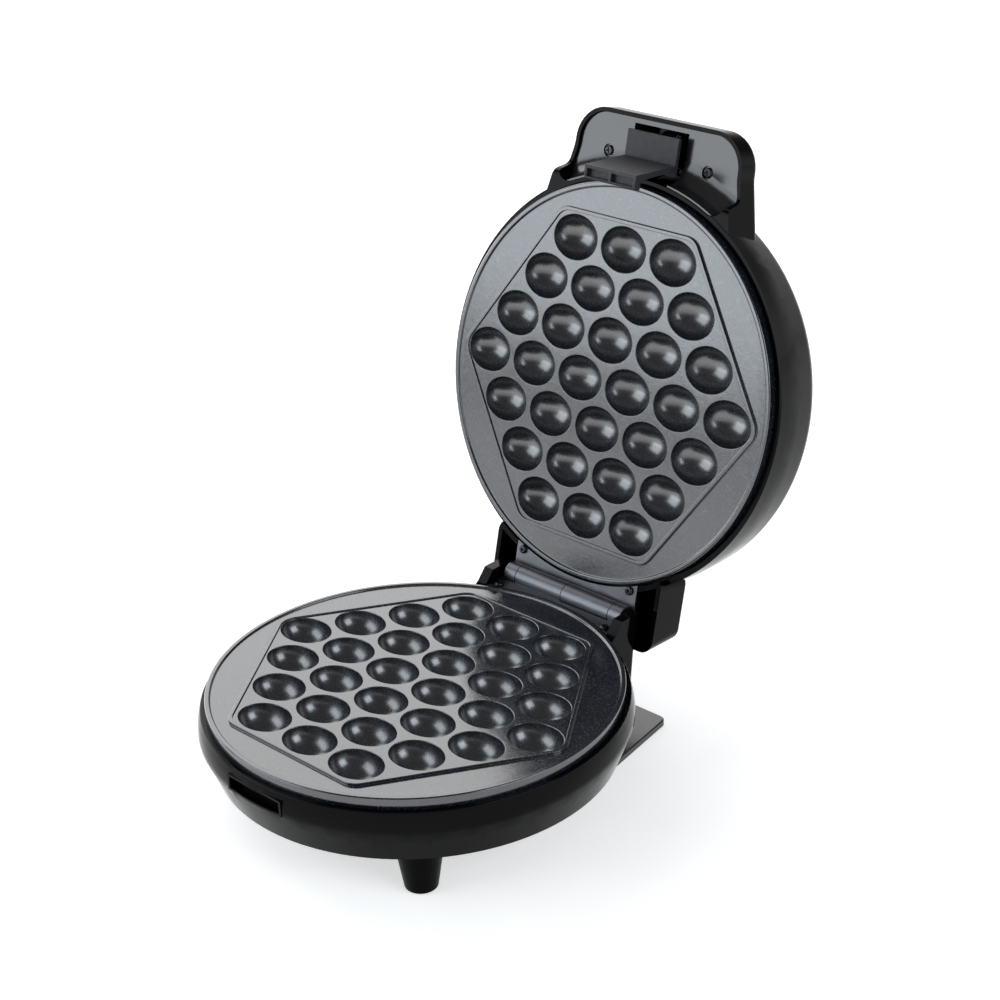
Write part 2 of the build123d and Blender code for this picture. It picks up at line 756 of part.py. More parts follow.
def hinge_leaf(sheet_bottom, knuckles, own_gap, others):
    """A hinge leaf: a sheet that follows the plate's edge, its own knuckles and slots for the others."""
    with BuildPart() as leaf:
        with BuildSketch(Plane.XY.offset(sheet_bottom)):
            with Locations((0, tower_front_y)):
                Rectangle(2 * leaf_half_width, hinge_y - tower_front_y, align=(Align.CENTER, Align.MIN))
            Circle(plate_radius + leaf_edge_gap, mode=Mode.SUBTRACT)
        extrude(amount=leaf_thickness)
        for start, end in others:
            with BuildSketch(Plane.YZ.offset(start - knuckle_gap)):
                with Locations((hinge_y, hinge_rise)):
                    Circle(barrel_radius + moving_gap)
            extrude(amount=end - start + 2 * knuckle_gap, mode=Mode.SUBTRACT)
        for start, end in knuckles:
            with BuildSketch(Plane.YZ.offset(start)):
                with Locations((hinge_y, hinge_rise)):
                    Circle(barrel_radius)
            extrude(amount=end - start)
        with BuildSketch(Plane.YZ):
            with Locations((hinge_y, hinge_rise)):
                Circle(pin_radius + own_gap)
        extrude(amount=leaf_half_width, both=True, mode=Mode.SUBTRACT)
        with BuildSketch(Plane.XY.offset(sheet_bottom)):
            with Locations((leaf_screw_x, leaf_screw_y), (-leaf_screw_x, leaf_screw_y)):
                Circle(screw_hole_radius)
        extrude(amount=leaf_thickness, mode=Mode.SUBTRACT)
    return leaf


base_knuckles = (
    (-long_knuckle + knuckle_gap, -knuckle_gap),
    (long_knuckle + knuckle_gap, barrel_half_length),
)
lid_knuckles = (
    (-barrel_half_length, -long_knuckle - knuckle_gap),
    (knuckle_gap, long_knuckle - knuckle_gap),
)
base_hinge_leaf = hinge_leaf(-leaf_thickness, base_knuckles, screw_hole_gap / 2, lid_knuckles)
finish(base_hinge_leaf, "base_hinge_leaf")
lid_hinge_leaf = hinge_leaf(closed_gap, lid_knuckles, running_gap, base_knuckles)
finish(lid_hinge_leaf, "lid_hinge_leaf", on_lid=True)

with BuildPart() as hinge_pin:
    with BuildSketch(Plane.YZ):
        with Locations((hinge_y, hinge_rise)):
            Circle(pin_radius)
    extrude(amount=barrel_half_length - pin_recess, both=True)
    chamfer(hinge_pin.edges().filter_by(GeomType.CIRCLE), pin_end_chamfer)
finish(hinge_pin, "hinge_pin")

hinge_screw = make_screw(leaf_thickness + screw_bite - screw_end_gap, hinge_screw_head_radius)
with BuildPart() as base_hinge_screws:
    with Locations((leaf_screw_x, leaf_screw_y), (-leaf_screw_x, leaf_screw_y)):
        add(hinge_screw)
finish(base_hinge_screws, "base_hinge_screws")

with BuildPart() as lid_hinge_screws:
    mirror(base_hinge_screws.part, about=shut_plane)
finish(lid_hinge_screws, "lid_hinge_screws", on_lid=True)

# Round outside of the lid, and the space inside it
with BuildPart() as lid_round:
    with BuildSketch(Plane.XZ) as lid_section:
        with BuildLine():
            Polyline(
                (0, lid_level(lid_rim_rise)),
                (lid_rim_radius, lid_level(lid_rim_rise)),
                (lid_waist_radius, lid_level(lid_waist_rise)),
                (lid_shoulder_radius, lid_level(lid_top_rise)),
                (0, lid_level(lid_top_rise + lid_crown)),
                close=True,
            )
        make_face()
        outer_corners = lid_section.vertices().filter_by(lambda v: v.X > 1).sort_by(Axis.Y)
        fillet(outer_corners[2], lid_corner_radius)
        fillet(outer_corners[1], lid_waist_round)
        fillet(outer_corners[0], rim_edge_round)
    revolve(axis=Axis.Z)

with BuildPart() as lid_space:
    with BuildSketch(Plane.XZ):
        with BuildLine():
            Polyline(
                (0, lid_level(-closed_gap / 2)),
                (lid_rim_inner, lid_level(-closed_gap / 2)),
                (lid_rim_inner, lid_level(plate_flange_thickness)),
                (ledge_radius, lid_level(plate_flange_thickness)),
                (ledge_radius, lid_level(ledge_bottom)),
                (lid_rim_radius - wall, lid_level(ledge_bottom)),
                (lid_waist_radius - wall, lid_level(lid_waist_rise)),
                (lid_shoulder_radius - wall + lid_taper_step, lid_level(lid_top_rise - lid_corner_radius)),
                (lid_shoulder_radius - lid_corner_radius, lid_level(lid_top_rise - wall)),
                (0, lid_level(lid_top_rise + lid_crown - wall)),
                close=True,
            )
        make_face()
    revolve(axis=Axis.Z)

# Handle lobe: plan outline with broad tip corners, its lower edge sweeping down into the round rim
with BuildSketch() as handle_plan:
    Polygon(
        (handle_root_half_width, handle_root_y),
        (handle_half_width, handle_flank_y),
        (handle_half_width, handle_tip_y),
        (-handle_half_width, handle_tip_y),
        (-handle_half_width, handle_flank_y),
        (-handle_root_half_width, handle_root_y),
        align=None,
    )
    plan_corners = handle_plan.vertices().group_by(Axis.Y)
    fillet(plan_corners[0], handle_corner_radius)
    flank_corners = handle_plan.vertices().filter_by(lambda v: abs(v.Y - handle_flank_y) < 0.1)
    fillet(flank_corners, handle_flank_round)


# Plan of the opening in the handle's underside, its lower corners rounded where it meets the ring
with BuildSketch() as opening_plan:
    add(handle_plan.sketch)
    offset(amount=-handle_wall, mode=Mode.REPLACE)
    Circle(opening_ring_radius, mode=Mode.SUBTRACT)
    fillet(opening_plan.vertices().group_by(Axis.Y)[-1], opening_corner_radius)

with BuildPart() as handle_lobe:
    with BuildSketch(Plane.XY.offset(lid_level(0))):
        add(handle_plan.sketch)
    extrude(amount=handle_top_rise)
    fillet(handle_lobe.faces().sort_by(Axis.Z)[-1].edges(), handle_edge_radius)
    with BuildSketch(Plane.YZ):
        with BuildLine():
            sweep_down = Spline(
                (handle_rim_straight_y, lid_level(handle_rim_rise)),
                (handle_rim_foot_y, lid_level(handle_rim_foot_rise)),
                tangents=((1, 0), (1, 0)),
            )
            Polyline(
                sweep_down @ 0,
                (handle_tip_y - cut_over, lid_level(handle_rim_rise)),
                (handle_tip_y - cut_over, lid_level(-cut_over)),
                (handle_root_y + cut_over, lid_level(-cut_over)),
                (handle_root_y + cut_over, lid_level(handle_rim_foot_rise)),
                sweep_down @ 1,
            )
        make_face()
    extrude(amount=2 * handle_root_half_width, both=True, mode=Mode.SUBTRACT)


def block(inset, low, high):
    """The lid's rear block between two levels, its end wall leaning in as it rises."""
    with BuildPart() as body:
        for level in (low, high):
            end_y = block_end_y - inset - block_end_lean * level / block_depth
            with BuildSketch(Plane.XY.offset(lid_level(level))):
                with Locations((0, end_y)):
                    RectangleRounded(
                        2 * (block_half_width - inset),
                        end_y - tower_front_y,
                        block_corner_radius - inset,
                        align=(Align.CENTER, Align.MAX),
                    )
        loft()
    return body


rear_block = block(0, 0, block_depth)
with BuildPart() as rounded_block:
    add(rear_block.part)
    fillet(rounded_block.faces().sort_by(Axis.Z)[-1].edges(), block_edge_radius)

with BuildPart() as block_space:
    add(block(wall, -cut_over, block_depth - wall).part)
    Cylinder(lid_rim_radius, big, mode=Mode.SUBTRACT)

with BuildPart() as lid_housing:
    add(lid_round.part)
    add(handle_lobe.part)
    add(rounded_block.part)
    add(block_space.part, mode=Mode.SUBTRACT)
    with BuildSketch(Plane.XY.offset(lid_level(0))):
        add(opening_plan.sketch)
    extrude(amount=handle_top_rise - handle_wall, mode=Mode.SUBTRACT)
    # Room for the hinge leaf, and its seat between the ring and the barrel
    with BuildSketch(Plane.XY.offset(lid_level(-cut_over))):
        with Locations((0, tower_front_y)):
            Rectangle(2 * cheek_inner_x, seat_end_y - tower_front_y, align=(Align.CENTER, Align.MIN))
    extrude(amount=leaf_thickness + cut_over, mode=Mode.SUBTRACT)
    with BuildSketch(Plane.XY.offset(lid_level(leaf_thickness))):
        with Locations((0, tower_front_y)):
            Rectangle(2 * leaf_half_width, seat_end_y - tower_front_y, align=(Align.CENTER, Align.MIN))
    extrude(amount=seat_depth)
    with BuildSketch(Plane.YZ):
        with Locations((hinge_y, hinge_rise)):
            Circle(barrel_radius + moving_gap)
    extrude(amount=cheek_inner_x, both=True, mode=Mode.SUBTRACT)
    add(lid_space.part, mode=Mode.SUBTRACT)
    with BuildSketch(Plane.XY.offset(lid_level(leaf_thickness))):
        with Locations((leaf_screw_x, leaf_screw_y), (-leaf_screw_x, leaf_screw_y)):
            Circle(screw_hole_radius)
    extrude(amount=screw_bite, mode=Mode.SUBTRACT)
    # Bosses for the handle panel's screws and lugs for the latch pin
    with BuildSketch(Plane.XY.offset(lid_level(panel_rise + panel_thickness))):
        with Locations((handle_screw_x, handle_screw_y), (-handle_screw_x, handle_screw_y)):
            Circle(handle_boss_radius)
    extrude(amount=handle_top_rise - panel_rise - panel_thickness - cut_over)
    with BuildSketch(Plane.XY.offset(lid_level(panel_rise + panel_thickness))):
        with Locations((handle_screw_x, handle_screw_y), (-handle_screw_x, handle_screw_y)):
            Circle(screw_hole_radius)
    extrude(amount=screw_bite + 2 * screw_end_gap, mode=Mode.SUBTRACT)
    for side in (-1, 1):
        inner_x = latch_barrel_half_length + moving_gap
        lug_middle = side * (inner_x + lug_outer_x) / 2
        with BuildSketch(Plane.YZ.offset(lug_middle)):
            with Locations((latch_pivot_y, lid_level(latch_pivot_rise))):
                Circle(lug_radius)
                Rectangle(
                    2 * lug_radius,
                    handle_top_rise - latch_pivot_rise - cut_over,
                    align=(Align.CENTER, Align.MIN),
                )
                Circle(latch_pin_radius + screw_hole_gap / 2, mode=Mode.SUBTRACT)
        extrude(amount=(lug_outer_x - inner_x) / 2, both=True)
    # Holes for the indicator lenses
    with BuildSketch(Plane.XY.offset(lid_level(lid_top_rise - 2 * wall))):
        with Locations((lamp_x, lamp_y), (-lamp_x, lamp_y)):
            Circle(lamp_lens_radius + screw_hole_gap)
    extrude(amount=4 * wall, mode=Mode.SUBTRACT)
finish(lid_housing, "lid_housing", on_lid=True)

# Handle panel, sunk behind the rim of the handle: flat at the tip, with a cove down to the ring
cove_foot_radius = opening_ring_radius + panel_gap
cove_centre_radius = cove_foot_radius + panel_foot_thickness + panel_cove_radius
panel_reach = handle_half_width - handle_tip_y
with BuildPart() as handle_panel:
    with BuildSketch(Plane.XZ):
        with BuildLine():
            cove = CenterArc((cove_centre_radius, lid_level(panel_foot_rise)), panel_cove_radius, 90, 90)
            back_radius = panel_cove_radius + panel_foot_thickness
            back_level = lid_level(panel_rise + panel_thickness)
            cove_back = CenterArc((cove_centre_radius, back_level - back_radius), back_radius, 90, 90)
            Polyline(
                cove @ 0,
                (panel_reach, lid_level(panel_rise)),
                (panel_reach, back_level),
                cove_back @ 0,
            )
            Polyline(
                cove @ 1,
                (cove_foot_radius, lid_level(panel_foot_rise)),
                cove_back @ 1,
            )
        make_face()
    revolve(axis=Axis.Z)
    with BuildSketch(Plane.XY.offset(lid_level(0))):
        add(opening_plan.sketch)
        offset(amount=-panel_gap, mode=Mode.REPLACE)
        with Locations((0, latch_slot_end_y)):
            Rectangle(2 * latch_slot_half_width, big, align=(Align.CENTER, Align.MIN), mode=Mode.SUBTRACT)
        with Locations((handle_screw_x, handle_screw_y), (-handle_screw_x, handle_screw_y)):
            Circle(screw_hole_radius, mode=Mode.SUBTRACT)
    extrude(amount=handle_top_rise, mode=Mode.INTERSECT)
    with BuildSketch(Plane.XY.offset(lid_level(panel_foot_rise))):
        with Locations((handle_screw_x, handle_screw_y), (-handle_screw_x, handle_screw_y)):
            Circle(screw_head_radius + cover_gap)
    extrude(amount=panel_cove_radius + panel_screw_sink, mode=Mode.SUBTRACT)
finish(handle_panel, "handle_panel", on_lid=True)

handle_screw = make_screw(panel_thickness - panel_screw_sink + screw_bite)
with BuildPart() as handle_screws:
    for side in (-1, 1):
        with Locations((side * handle_screw_x, handle_screw_y, lid_level(panel_rise + panel_screw_sink))):
            add(handle_screw.rotate(Axis.X, 180))
finish(handle_screws, "handle_screws", on_lid=True)

# Latch: thumb plate, leaning arm and hook in one, turning on a pin inside the handle
lever_root = (0, latch_arm_outer_y - latch_arm_lean, lid_level(latch_face_rise))
with BuildPart() as latch_lever:
    with BuildSketch(Plane.YZ) as lever_side:
        Polygon(
            (latch_thumb_end_y, lid_level(latch_face_rise)),
            (latch_arm_outer_y - latch_arm_lean, lid_level(latch_face_rise)),
            (latch_arm_outer_y, lid_level(latch_end_rise)),
            (latch_hook_y, lid_level(latch_end_rise)),
            (latch_hook_y, lid_level(latch_end_rise + latch_hook_height)),
            (latch_arm_inner_y, lid_level(latch_end_rise + latch_hook_height)),
            (latch_arm_inner_y - latch_arm_lean, lid_level(latch_face_rise)),
            (latch_pivot_y + latch_barrel_radius, lid_level(latch_face_rise)),
            (latch_pivot_y + latch_barrel_radius, lid_level(latch_face_rise + latch_thumb_thickness)),
            (latch_thumb_end_y, lid_level(latch_face_rise + latch_thumb_thickness)),
            align=None,
        )
        fillet(lever_side.vertices().sort_by_distance(lever_root)[0], latch_root_round)
    extrude(amount=latch_half_width, both=True)
    # Two pockets in the hook's end, either side of a rib
    pocket_depth_y = latch_hook_y - latch_arm_outer_y - 2 * latch_wall
    pocket_width = latch_half_width - 1.5 * latch_wall
    with BuildSketch(Plane.XY.offset(lid_level(latch_end_rise))):
        for side in (-1, 1):
            with Locations((side * (latch_wall + pocket_width) / 2, latch_arm_outer_y + latch_wall)):
                Rectangle(pocket_width, pocket_depth_y, align=(Align.CENTER, Align.MIN))
    extrude(amount=latch_pocket_depth, mode=Mode.SUBTRACT)
    with BuildSketch(Plane.YZ):
        with Locations((latch_pivot_y, lid_level(latch_pivot_rise))):
            Circle(latch_barrel_radius)
            Rectangle(
                2 * latch_barrel_radius,
                latch_pivot_rise - latch_face_rise - latch_thumb_thickness / 2,
                align=(Align.CENTER, Align.MAX),
            )
    extrude(amount=latch_barrel_half_length, both=True)
    with BuildSketch(Plane.YZ):
        with Locations((latch_pivot_y, lid_level(latch_pivot_rise))):
            Circle(latch_pin_radius + running_gap)
    extrude(amount=latch_half_width, both=True, mode=Mode.SUBTRACT)
finish(latch_lever, "latch_lever", on_lid=True)

with BuildPart() as latch_pin:
    with BuildSketch(Plane.YZ):
        with Locations((latch_pivot_y, lid_level(latch_pivot_rise))):
            Circle(latch_pin_radius)
    extrude(amount=lug_outer_x, both=True)
finish(latch_pin, "latch_pin", on_lid=True)

# Flat spring between the handle's top and the thumb plate
spring_seat = handle_top_rise - handle_wall - spring_thickness / 2
spring_touch = latch_face_rise + latch_thumb_thickness + spring_thickness / 2 + screw_hole_gap
with BuildPart() as latch_spring:
    with BuildSketch(Plane.YZ):
        with BuildLine() as spring_line:
            FilletPolyline(
                (latch_thumb_end_y + spring_back, lid_level(spring_seat)),
                (latch_thumb_end_y - spring_bow, lid_level(spring_seat)),
                (latch_thumb_end_y + spring_reach, lid_level(spring_touch)),
                radius=spring_bow,
            )
        trace(line_width=spring_thickness)
    extrude(amount=spring_half_width, both=True)
finish(latch_spring, "latch_spring", on_lid=True)

# Indicator lenses with a lamp behind each
lens_back = lid_top_rise - wall - lamp_lens_back
with BuildPart() as indicator_lenses:
    for side in (-1, 1):
        with Locations((side * lamp_x, lamp_y, lid_level(lens_back))):
            Cylinder(lamp_lens_radius, lamp_lens_length, align=(Align.CENTER, Align.CENTER, Align.MIN))
    fillet(indicator_lenses.faces().filter_by(Axis.Z).group_by(Axis.Z)[-1].edges(), lens_edge_round)
finish(indicator_lenses, "indicator_lenses", on_lid=True)

with BuildPart() as indicator_lamps:
    for side in (-1, 1):
        with Locations((side * lamp_x, lamp_y, lid_level(lens_back))):
            Cylinder(lamp_radius, lamp_length, align=(Align.CENTER, Align.CENTER, Align.MAX))
    fillet(indicator_lamps.faces().filter_by(Axis.Z).group_by(Axis.Z)[0].edges(), lamp_end_round)
finish(indicator_lamps, "indicator_lamps", on_lid=True)

# The machine stands on Z = 0, with the middle of its length and width at the origin
boxes = [shape.bounding_box() for shape in pieces.values()]
middle_y = (min(box.min.Y for box in boxes) + max(box.max.Y for box in boxes)) / 2
move = Location((0, -middle_y, table_drop))
print("middle_y", round(middle_y, 4), "top", round(max(box.max.Z for box in boxes) + table_drop, 3))
for label, shape in pieces.items():
    placed = move * shape
    placed.label = label
    export_step(placed, f"parts/{label}.step")
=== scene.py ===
"""Bubble waffle maker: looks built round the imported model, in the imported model's own frame.

Shapes are written in millimetres about the middle of the lower plate, with zero at the land between its
cups and the lid drawn shut. DOWN and ON_LID take them into the frame, in metres, with the lid open.
"""

import json
import math

import bmesh
import bpy
from bpy.props import FloatProperty, FloatVectorProperty, IntProperty, PointerProperty
from mathutils import Matrix, Vector
from mathutils.geometry import delaunay_2d_cdt


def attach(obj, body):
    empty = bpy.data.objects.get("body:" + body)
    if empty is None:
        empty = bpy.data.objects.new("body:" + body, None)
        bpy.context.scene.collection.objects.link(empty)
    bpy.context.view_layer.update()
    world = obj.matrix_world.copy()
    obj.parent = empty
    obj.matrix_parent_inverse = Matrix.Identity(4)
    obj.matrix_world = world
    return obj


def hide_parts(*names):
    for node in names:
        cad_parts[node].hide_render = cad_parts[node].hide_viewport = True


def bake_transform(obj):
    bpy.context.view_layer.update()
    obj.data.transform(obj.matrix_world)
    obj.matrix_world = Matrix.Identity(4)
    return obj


bl_info = {
    "name": "Bubble Waffle Maker",
    "version": (1, 0, 0),
    "blender": (4, 5, 0),
    "location": "View3D > Sidebar > Waffle Maker",
    "description": "Builds the visible pieces and finishes of a bubble waffle maker",
    "category": "Object",
}

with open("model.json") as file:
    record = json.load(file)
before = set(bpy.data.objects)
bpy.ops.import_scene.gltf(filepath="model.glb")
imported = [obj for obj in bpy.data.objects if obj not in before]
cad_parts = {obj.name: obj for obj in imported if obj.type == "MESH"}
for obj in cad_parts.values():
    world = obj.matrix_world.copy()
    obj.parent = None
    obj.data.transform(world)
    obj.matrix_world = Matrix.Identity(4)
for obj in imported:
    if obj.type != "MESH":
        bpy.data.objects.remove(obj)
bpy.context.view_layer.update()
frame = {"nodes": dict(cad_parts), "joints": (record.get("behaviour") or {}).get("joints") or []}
MM = 0.001
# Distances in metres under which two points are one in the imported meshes, or after rounding
SAME_POINT = 1e-7
WELD = 2e-6

# Where the plates and the hinge stand in the frame
HINGE_Y = 103.8
HINGE_RISE = 1.4
CLOSED_GAP = 5.0
LID_ANGLE = math.radians(103.7)
HINGE = Vector(frame["joints"][0]["pos_m"])
PLATE_ORIGIN = HINGE - Vector((0, HINGE_Y, HINGE_RISE)) * MM

CUP_ROWS = (3, 4, 5, 6, 5, 4, 3)

LID_TURN = (
    Matrix.Translation(HINGE)
    @ Matrix.Rotation(-LID_ANGLE, 4, "X")
    @ Matrix.Translation(-HINGE)
)
DOWN = Matrix.Translation(PLATE_ORIGIN) @ Matrix.Scale(MM, 4)
ON_LID = LID_TURN @ DOWN
TURN_OVER = (
    Matrix.Translation((0, 0, CLOSED_GAP / 2))
    @ Matrix.Rotation(math.pi, 4, "X")
    @ Matrix.Translation((0, 0, -CLOSED_GAP / 2))
)


def length(name, description, default):
    """A length that the sidebar shows in the scene's own unit."""
    return FloatProperty(
        name=name, description=description, default=default, unit="LENGTH", precision=5, min=0
    )


class WaffleSizes(bpy.types.PropertyGroup):
    """Sizes of the visible details."""

    cup_length: length("Cup Length", "Long axis of a cup's mouth", 0.0266)
    cup_width: length("Cup Width", "Short axis of a cup's mouth", 0.0214)
    cup_depth: length("Cup Depth", "Depth of a cup", 0.0107)
    cup_pitch: length("Cup Pitch", "Distance between cups in a row", 0.0292)
    row_pitch: length("Row Pitch", "Distance between rows of cups", 0.02155)
    cup_round: length("Cup Edge Round", "Radius of the edge of a cup's mouth", 0.00035)
    cup_segments: IntProperty(name="Cup Segments", description="Segments round a cup", default=56, min=16)
    plate_segments: IntProperty(
        name="Plate Segments", description="Segments round a plate", default=192, min=48
    )
    bead_height: length("Bead Height", "Height of the hexagonal bead above the land", 0.0007)
    brim_drop: length("Brim Drop", "Step from the land down to the brim", 0.0006)
    screw_radius: length("Screw Head Radius", "Radius of the housing screws' heads", 0.00235)
    hinge_screw_radius: length("Hinge Screw Head Radius", "Radius of the hinge screws' heads", 0.00215)
    recess_reach: length("Screw Recess Reach", "Half length of the cross in a screw's head", 0.0014)


def colour(name, description, default):
    return FloatVectorProperty(
        name=name, description=description, subtype="COLOR", size=3, min=0, max=1, default=default
    )


class WaffleColours(bpy.types.PropertyGroup):
    """Base colours of the finishes."""

    coating: colour("Coating", "Non-stick coating", (0.008, 0.010, 0.015))
    speck: colour("Speck", "Bright flecks in the coating", (0.16, 0.185, 0.23))
    housing: colour("Housing", "Glossy black plastic of the housings", (0.0016, 0.0016, 0.002))
    panel: colour("Handle Panel", "Polished plastic in the handle", (0.012, 0.012, 0.013))
    latch: colour("Latch", "Satin dark grey plastic", (0.03, 0.03, 0.034))
    stand: colour("Rear Stand", "Dark plastic of the rear stand", (0.03, 0.028, 0.027))
    steel: colour("Hinge Steel", "Rolled hinge metal", (0.17, 0.175, 0.19))
    screw: colour("Screws", "Blackened screws", (0.06, 0.06, 0.065))
    daylight: colour("Daylight", "Tint of the front and right softboxes", (0.85, 0.93, 1.0))


def brightness(name, description, default):
    return FloatProperty(name=name, description=description, default=default, min=0)


class WaffleStudio(bpy.types.PropertyGroup):
    """Brightness of the softboxes, where 1 is white paper, and of the surround."""

    left: brightness("Left Softbox", "Brightness of the rear left softbox", 2.4)
    front: brightness("Front Softbox", "Brightness of the front left softbox", 2.6)
    right: brightness("Right Softbox", "Brightness of the right softbox", 3.2)
    strip: brightness("Low Strip", "Brightness of the low strip at the left", 3.6)
    horizon: brightness("Horizon", "Brightness of the surround at eye level", 1.0)
    overhead: brightness("Overhead", "Brightness of the surround overhead", 0.12)
    fill: brightness("Fill", "Even light from the surround", 0.32)
    floor_lift: brightness("Floor Lift", "Light added to the floor as it is seen", 0.55)


# Small helpers for node trees


def add_node(tree, kind, inputs=None, **settings):
    """A node with its settings, and its inputs given as numbers or as sockets to link from."""
    made = tree.nodes.new(kind)
    for name, value in settings.items():
        setattr(made, name, value)
    for name, value in (inputs or {}).items():
        socket = made.inputs[name]
        if isinstance(value, bpy.types.NodeSocket):
            tree.links.new(value, socket)
        else:
            socket.default_value = value
    return made


def maths(tree, operation, first, second=0.0):
    return add_node(tree, "ShaderNodeMath", {0: first, 1: second}, operation=operation).outputs[0]


def start_material(name):
    """An empty material with a Principled surface, and its object-space coordinates."""
    material = bpy.data.materials.new(name)
    material.use_nodes = True
    tree = material.node_tree
    tree.nodes.clear()
    shader = add_node(tree, "ShaderNodeBsdfPrincipled")
    add_node(tree, "ShaderNodeOutputMaterial", {"Surface": shader.outputs["BSDF"]})
    coords = add_node(tree, "ShaderNodeTexCoord").outputs["Object"]
    return material, tree, shader, coords


def ramp(tree, factor, stops):
    """A colour ramp from (position, grey or colour) stops."""
    made = add_node(tree, "ShaderNodeValToRGB", {"Fac": factor})
    elements = made.color_ramp.elements
    while len(elements) < len(stops):
        elements.new(0.5)
    for element, (position, value) in zip(elements, stops):
        element.position = position
        colour = value if isinstance(value, (tuple, list)) else (value, value, value)
        element.color = (*colour[:3], 1)
    return made.outputs["Color"]


def noise(tree, coords, scale, detail=2.0, roughness=0.5):
    inputs = {"Vector": coords, "Scale": scale, "Detail": detail, "Roughness": roughness}
    return add_node(tree, "ShaderNodeTexNoise", inputs).outputs["Fac"]


def bump(tree, shader, height, strength, distance):
    """Relief of a height and a distance in millimetres."""
    made = add_node(
        tree, "ShaderNodeBump", {"Height": height, "Strength": strength, "Distance": distance * MM}
    )
    tree.links.new(made.outputs["Normal"], shader.inputs["Normal"])


def vary(tree, coords, scale, low, high, detail=3.0):
    """Noise spread between two greys."""
    return ramp(tree, noise(tree, coords, scale, detail), [(0.3, low), (0.7, high)])


def shades(colour, low, high):
    """A colour made darker and lighter by two factors."""
    return tuple(c * low for c in colour), tuple(c * high for c in colour)


def coated_plate_material(name, colours):
    """Blue-black non-stick coating: metal flecks under a glassy skin, with orange peel and uneven gloss."""
    material, tree, shader, coords = start_material(name)
    cells = add_node(tree, "ShaderNodeTexVoronoi", {"Vector": coords, "Scale": 1300.0, "Randomness": 1.0})
    near = ramp(tree, cells.outputs["Distance"], [(0.20, 1.0), (0.42, 0.0)])
    chosen = ramp(tree, noise(tree, coords, 750.0, 1.0), [(0.50, 0.0), (0.60, 1.0)])
    fleck = maths(tree, "MULTIPLY", near, chosen)
    cloud = vary(tree, coords, 240.0, 0.6, 1.4, 4.0)
    base = add_node(
        tree,
        "ShaderNodeMix",
        {"Factor": 1.0, 6: (*colours.coating, 1), 7: cloud},
        data_type="RGBA",
        blend_type="MULTIPLY",
    ).outputs[2]
    mixed = add_node(
        tree, "ShaderNodeMix", {"Factor": fleck, 6: base, 7: (*colours.speck, 1)}, data_type="RGBA"
    ).outputs[2]
    tree.links.new(mixed, shader.inputs["Base Color"])
    tree.links.new(maths(tree, "MULTIPLY", fleck, 0.8), shader.inputs["Metallic"])
    uneven = ramp(tree, noise(tree, coords, 620.0, 3.0), [(0.3, 0.12), (0.7, 0.18)])
    in_cup = add_node(tree, "ShaderNodeAttribute", attribute_name="hollow").outputs["Fac"]
    rough = maths(tree, "ADD", uneven, maths(tree, "MULTIPLY", in_cup, 0.1))
    tree.links.new(maths(tree, "ADD", maths(tree, "MULTIPLY", in_cup, 0.35), 2.0), shader.inputs["IOR"])
    tree.links.new(rough, shader.inputs["Roughness"])
    skin = maths(tree, "ADD", noise(tree, coords, 1500.0, 3.0, 0.6), noise(tree, coords, 330.0, 1.0))
    bump(tree, shader, skin, 0.16, 0.1)
    return material


def glossy_plastic_material(name, colour, low=0.1, high=0.16, specular=0.08):
    """Black moulded plastic with a polished skin, faint ripples and a few hairline scuffs."""
    material, tree, shader, coords = start_material(name)
    tint = vary(tree, coords, 40.0, *shades(colour, 0.8, 1.25))
    tree.links.new(tint, shader.inputs["Base Color"])
    shader.inputs["Specular IOR Level"].default_value = specular
    scuff_run = (9.0, 1.0, 5.0)
    stretched = add_node(tree, "ShaderNodeMapping", {"Vector": coords, "Scale": scuff_run}).outputs[0]
    scuffs = ramp(tree, noise(tree, stretched, 120.0, 6.0, 0.75), [(0.62, low), (0.78, high)])
    tree.links.new(scuffs, shader.inputs["Roughness"])
    bump(tree, shader, noise(tree, coords, 26.0, 0.0), 0.03, 0.2)
    return material


def satin_plastic_material(name, colour, rough=0.42, grain=1400.0, specular=0.4):
    """Moulded plastic with a fine spark-eroded grain."""
    material, tree, shader, coords = start_material(name)
    tint = vary(tree, coords, 300.0, *shades(colour, 0.85, 1.2))
    tree.links.new(tint, shader.inputs["Base Color"])
    shader.inputs["Specular IOR Level"].default_value = specular
    tree.links.new(
        ramp(tree, noise(tree, coords, grain * 0.6, 3.0), [(0.3, rough - 0.06), (0.7, rough + 0.08)]),
        shader.inputs["Roughness"],
    )
    bump(tree, shader, noise(tree, coords, grain, 2.0), 0.25, 0.05)
    return material


def brushed_metal_material(name, colour, stretch, low=0.2, high=0.34, scale=260.0):
    """Rolled or turned metal, its fine lines running the long way of stretch."""
    material, tree, shader, coords = start_material(name)
    lines = add_node(tree, "ShaderNodeMapping", {"Vector": coords, "Scale": stretch}).outputs[0]
    streaks = noise(tree, lines, scale, 5.0, 0.65)
    dark, plain = shades(colour, 0.72, 1.0)
    tint = ramp(tree, streaks, [(0.25, dark), (0.75, plain)])
    tree.links.new(tint, shader.inputs["Base Color"])
    shader.inputs["Metallic"].default_value = 1.0
    tree.links.new(ramp(tree, streaks, [(0.3, low), (0.7, high)]), shader.inputs["Roughness"])
    bump(tree, shader, streaks, 0.12, 0.05)
    return material


def rubber_material(name, colour):
    material, tree, shader, coords = start_material(name)
    tree.links.new(vary(tree, coords, 500.0, *shades(colour, 0.8, 1.3)), shader.inputs["Base Color"])
    shader.inputs["Specular IOR Level"].default_value = 0.3
    tree.links.new(vary(tree, coords, 900.0, 0.62, 0.78), shader.inputs["Roughness"])
    bump(tree, shader, noise(tree, coords, 1600.0, 2.0), 0.3, 0.06)
    return material


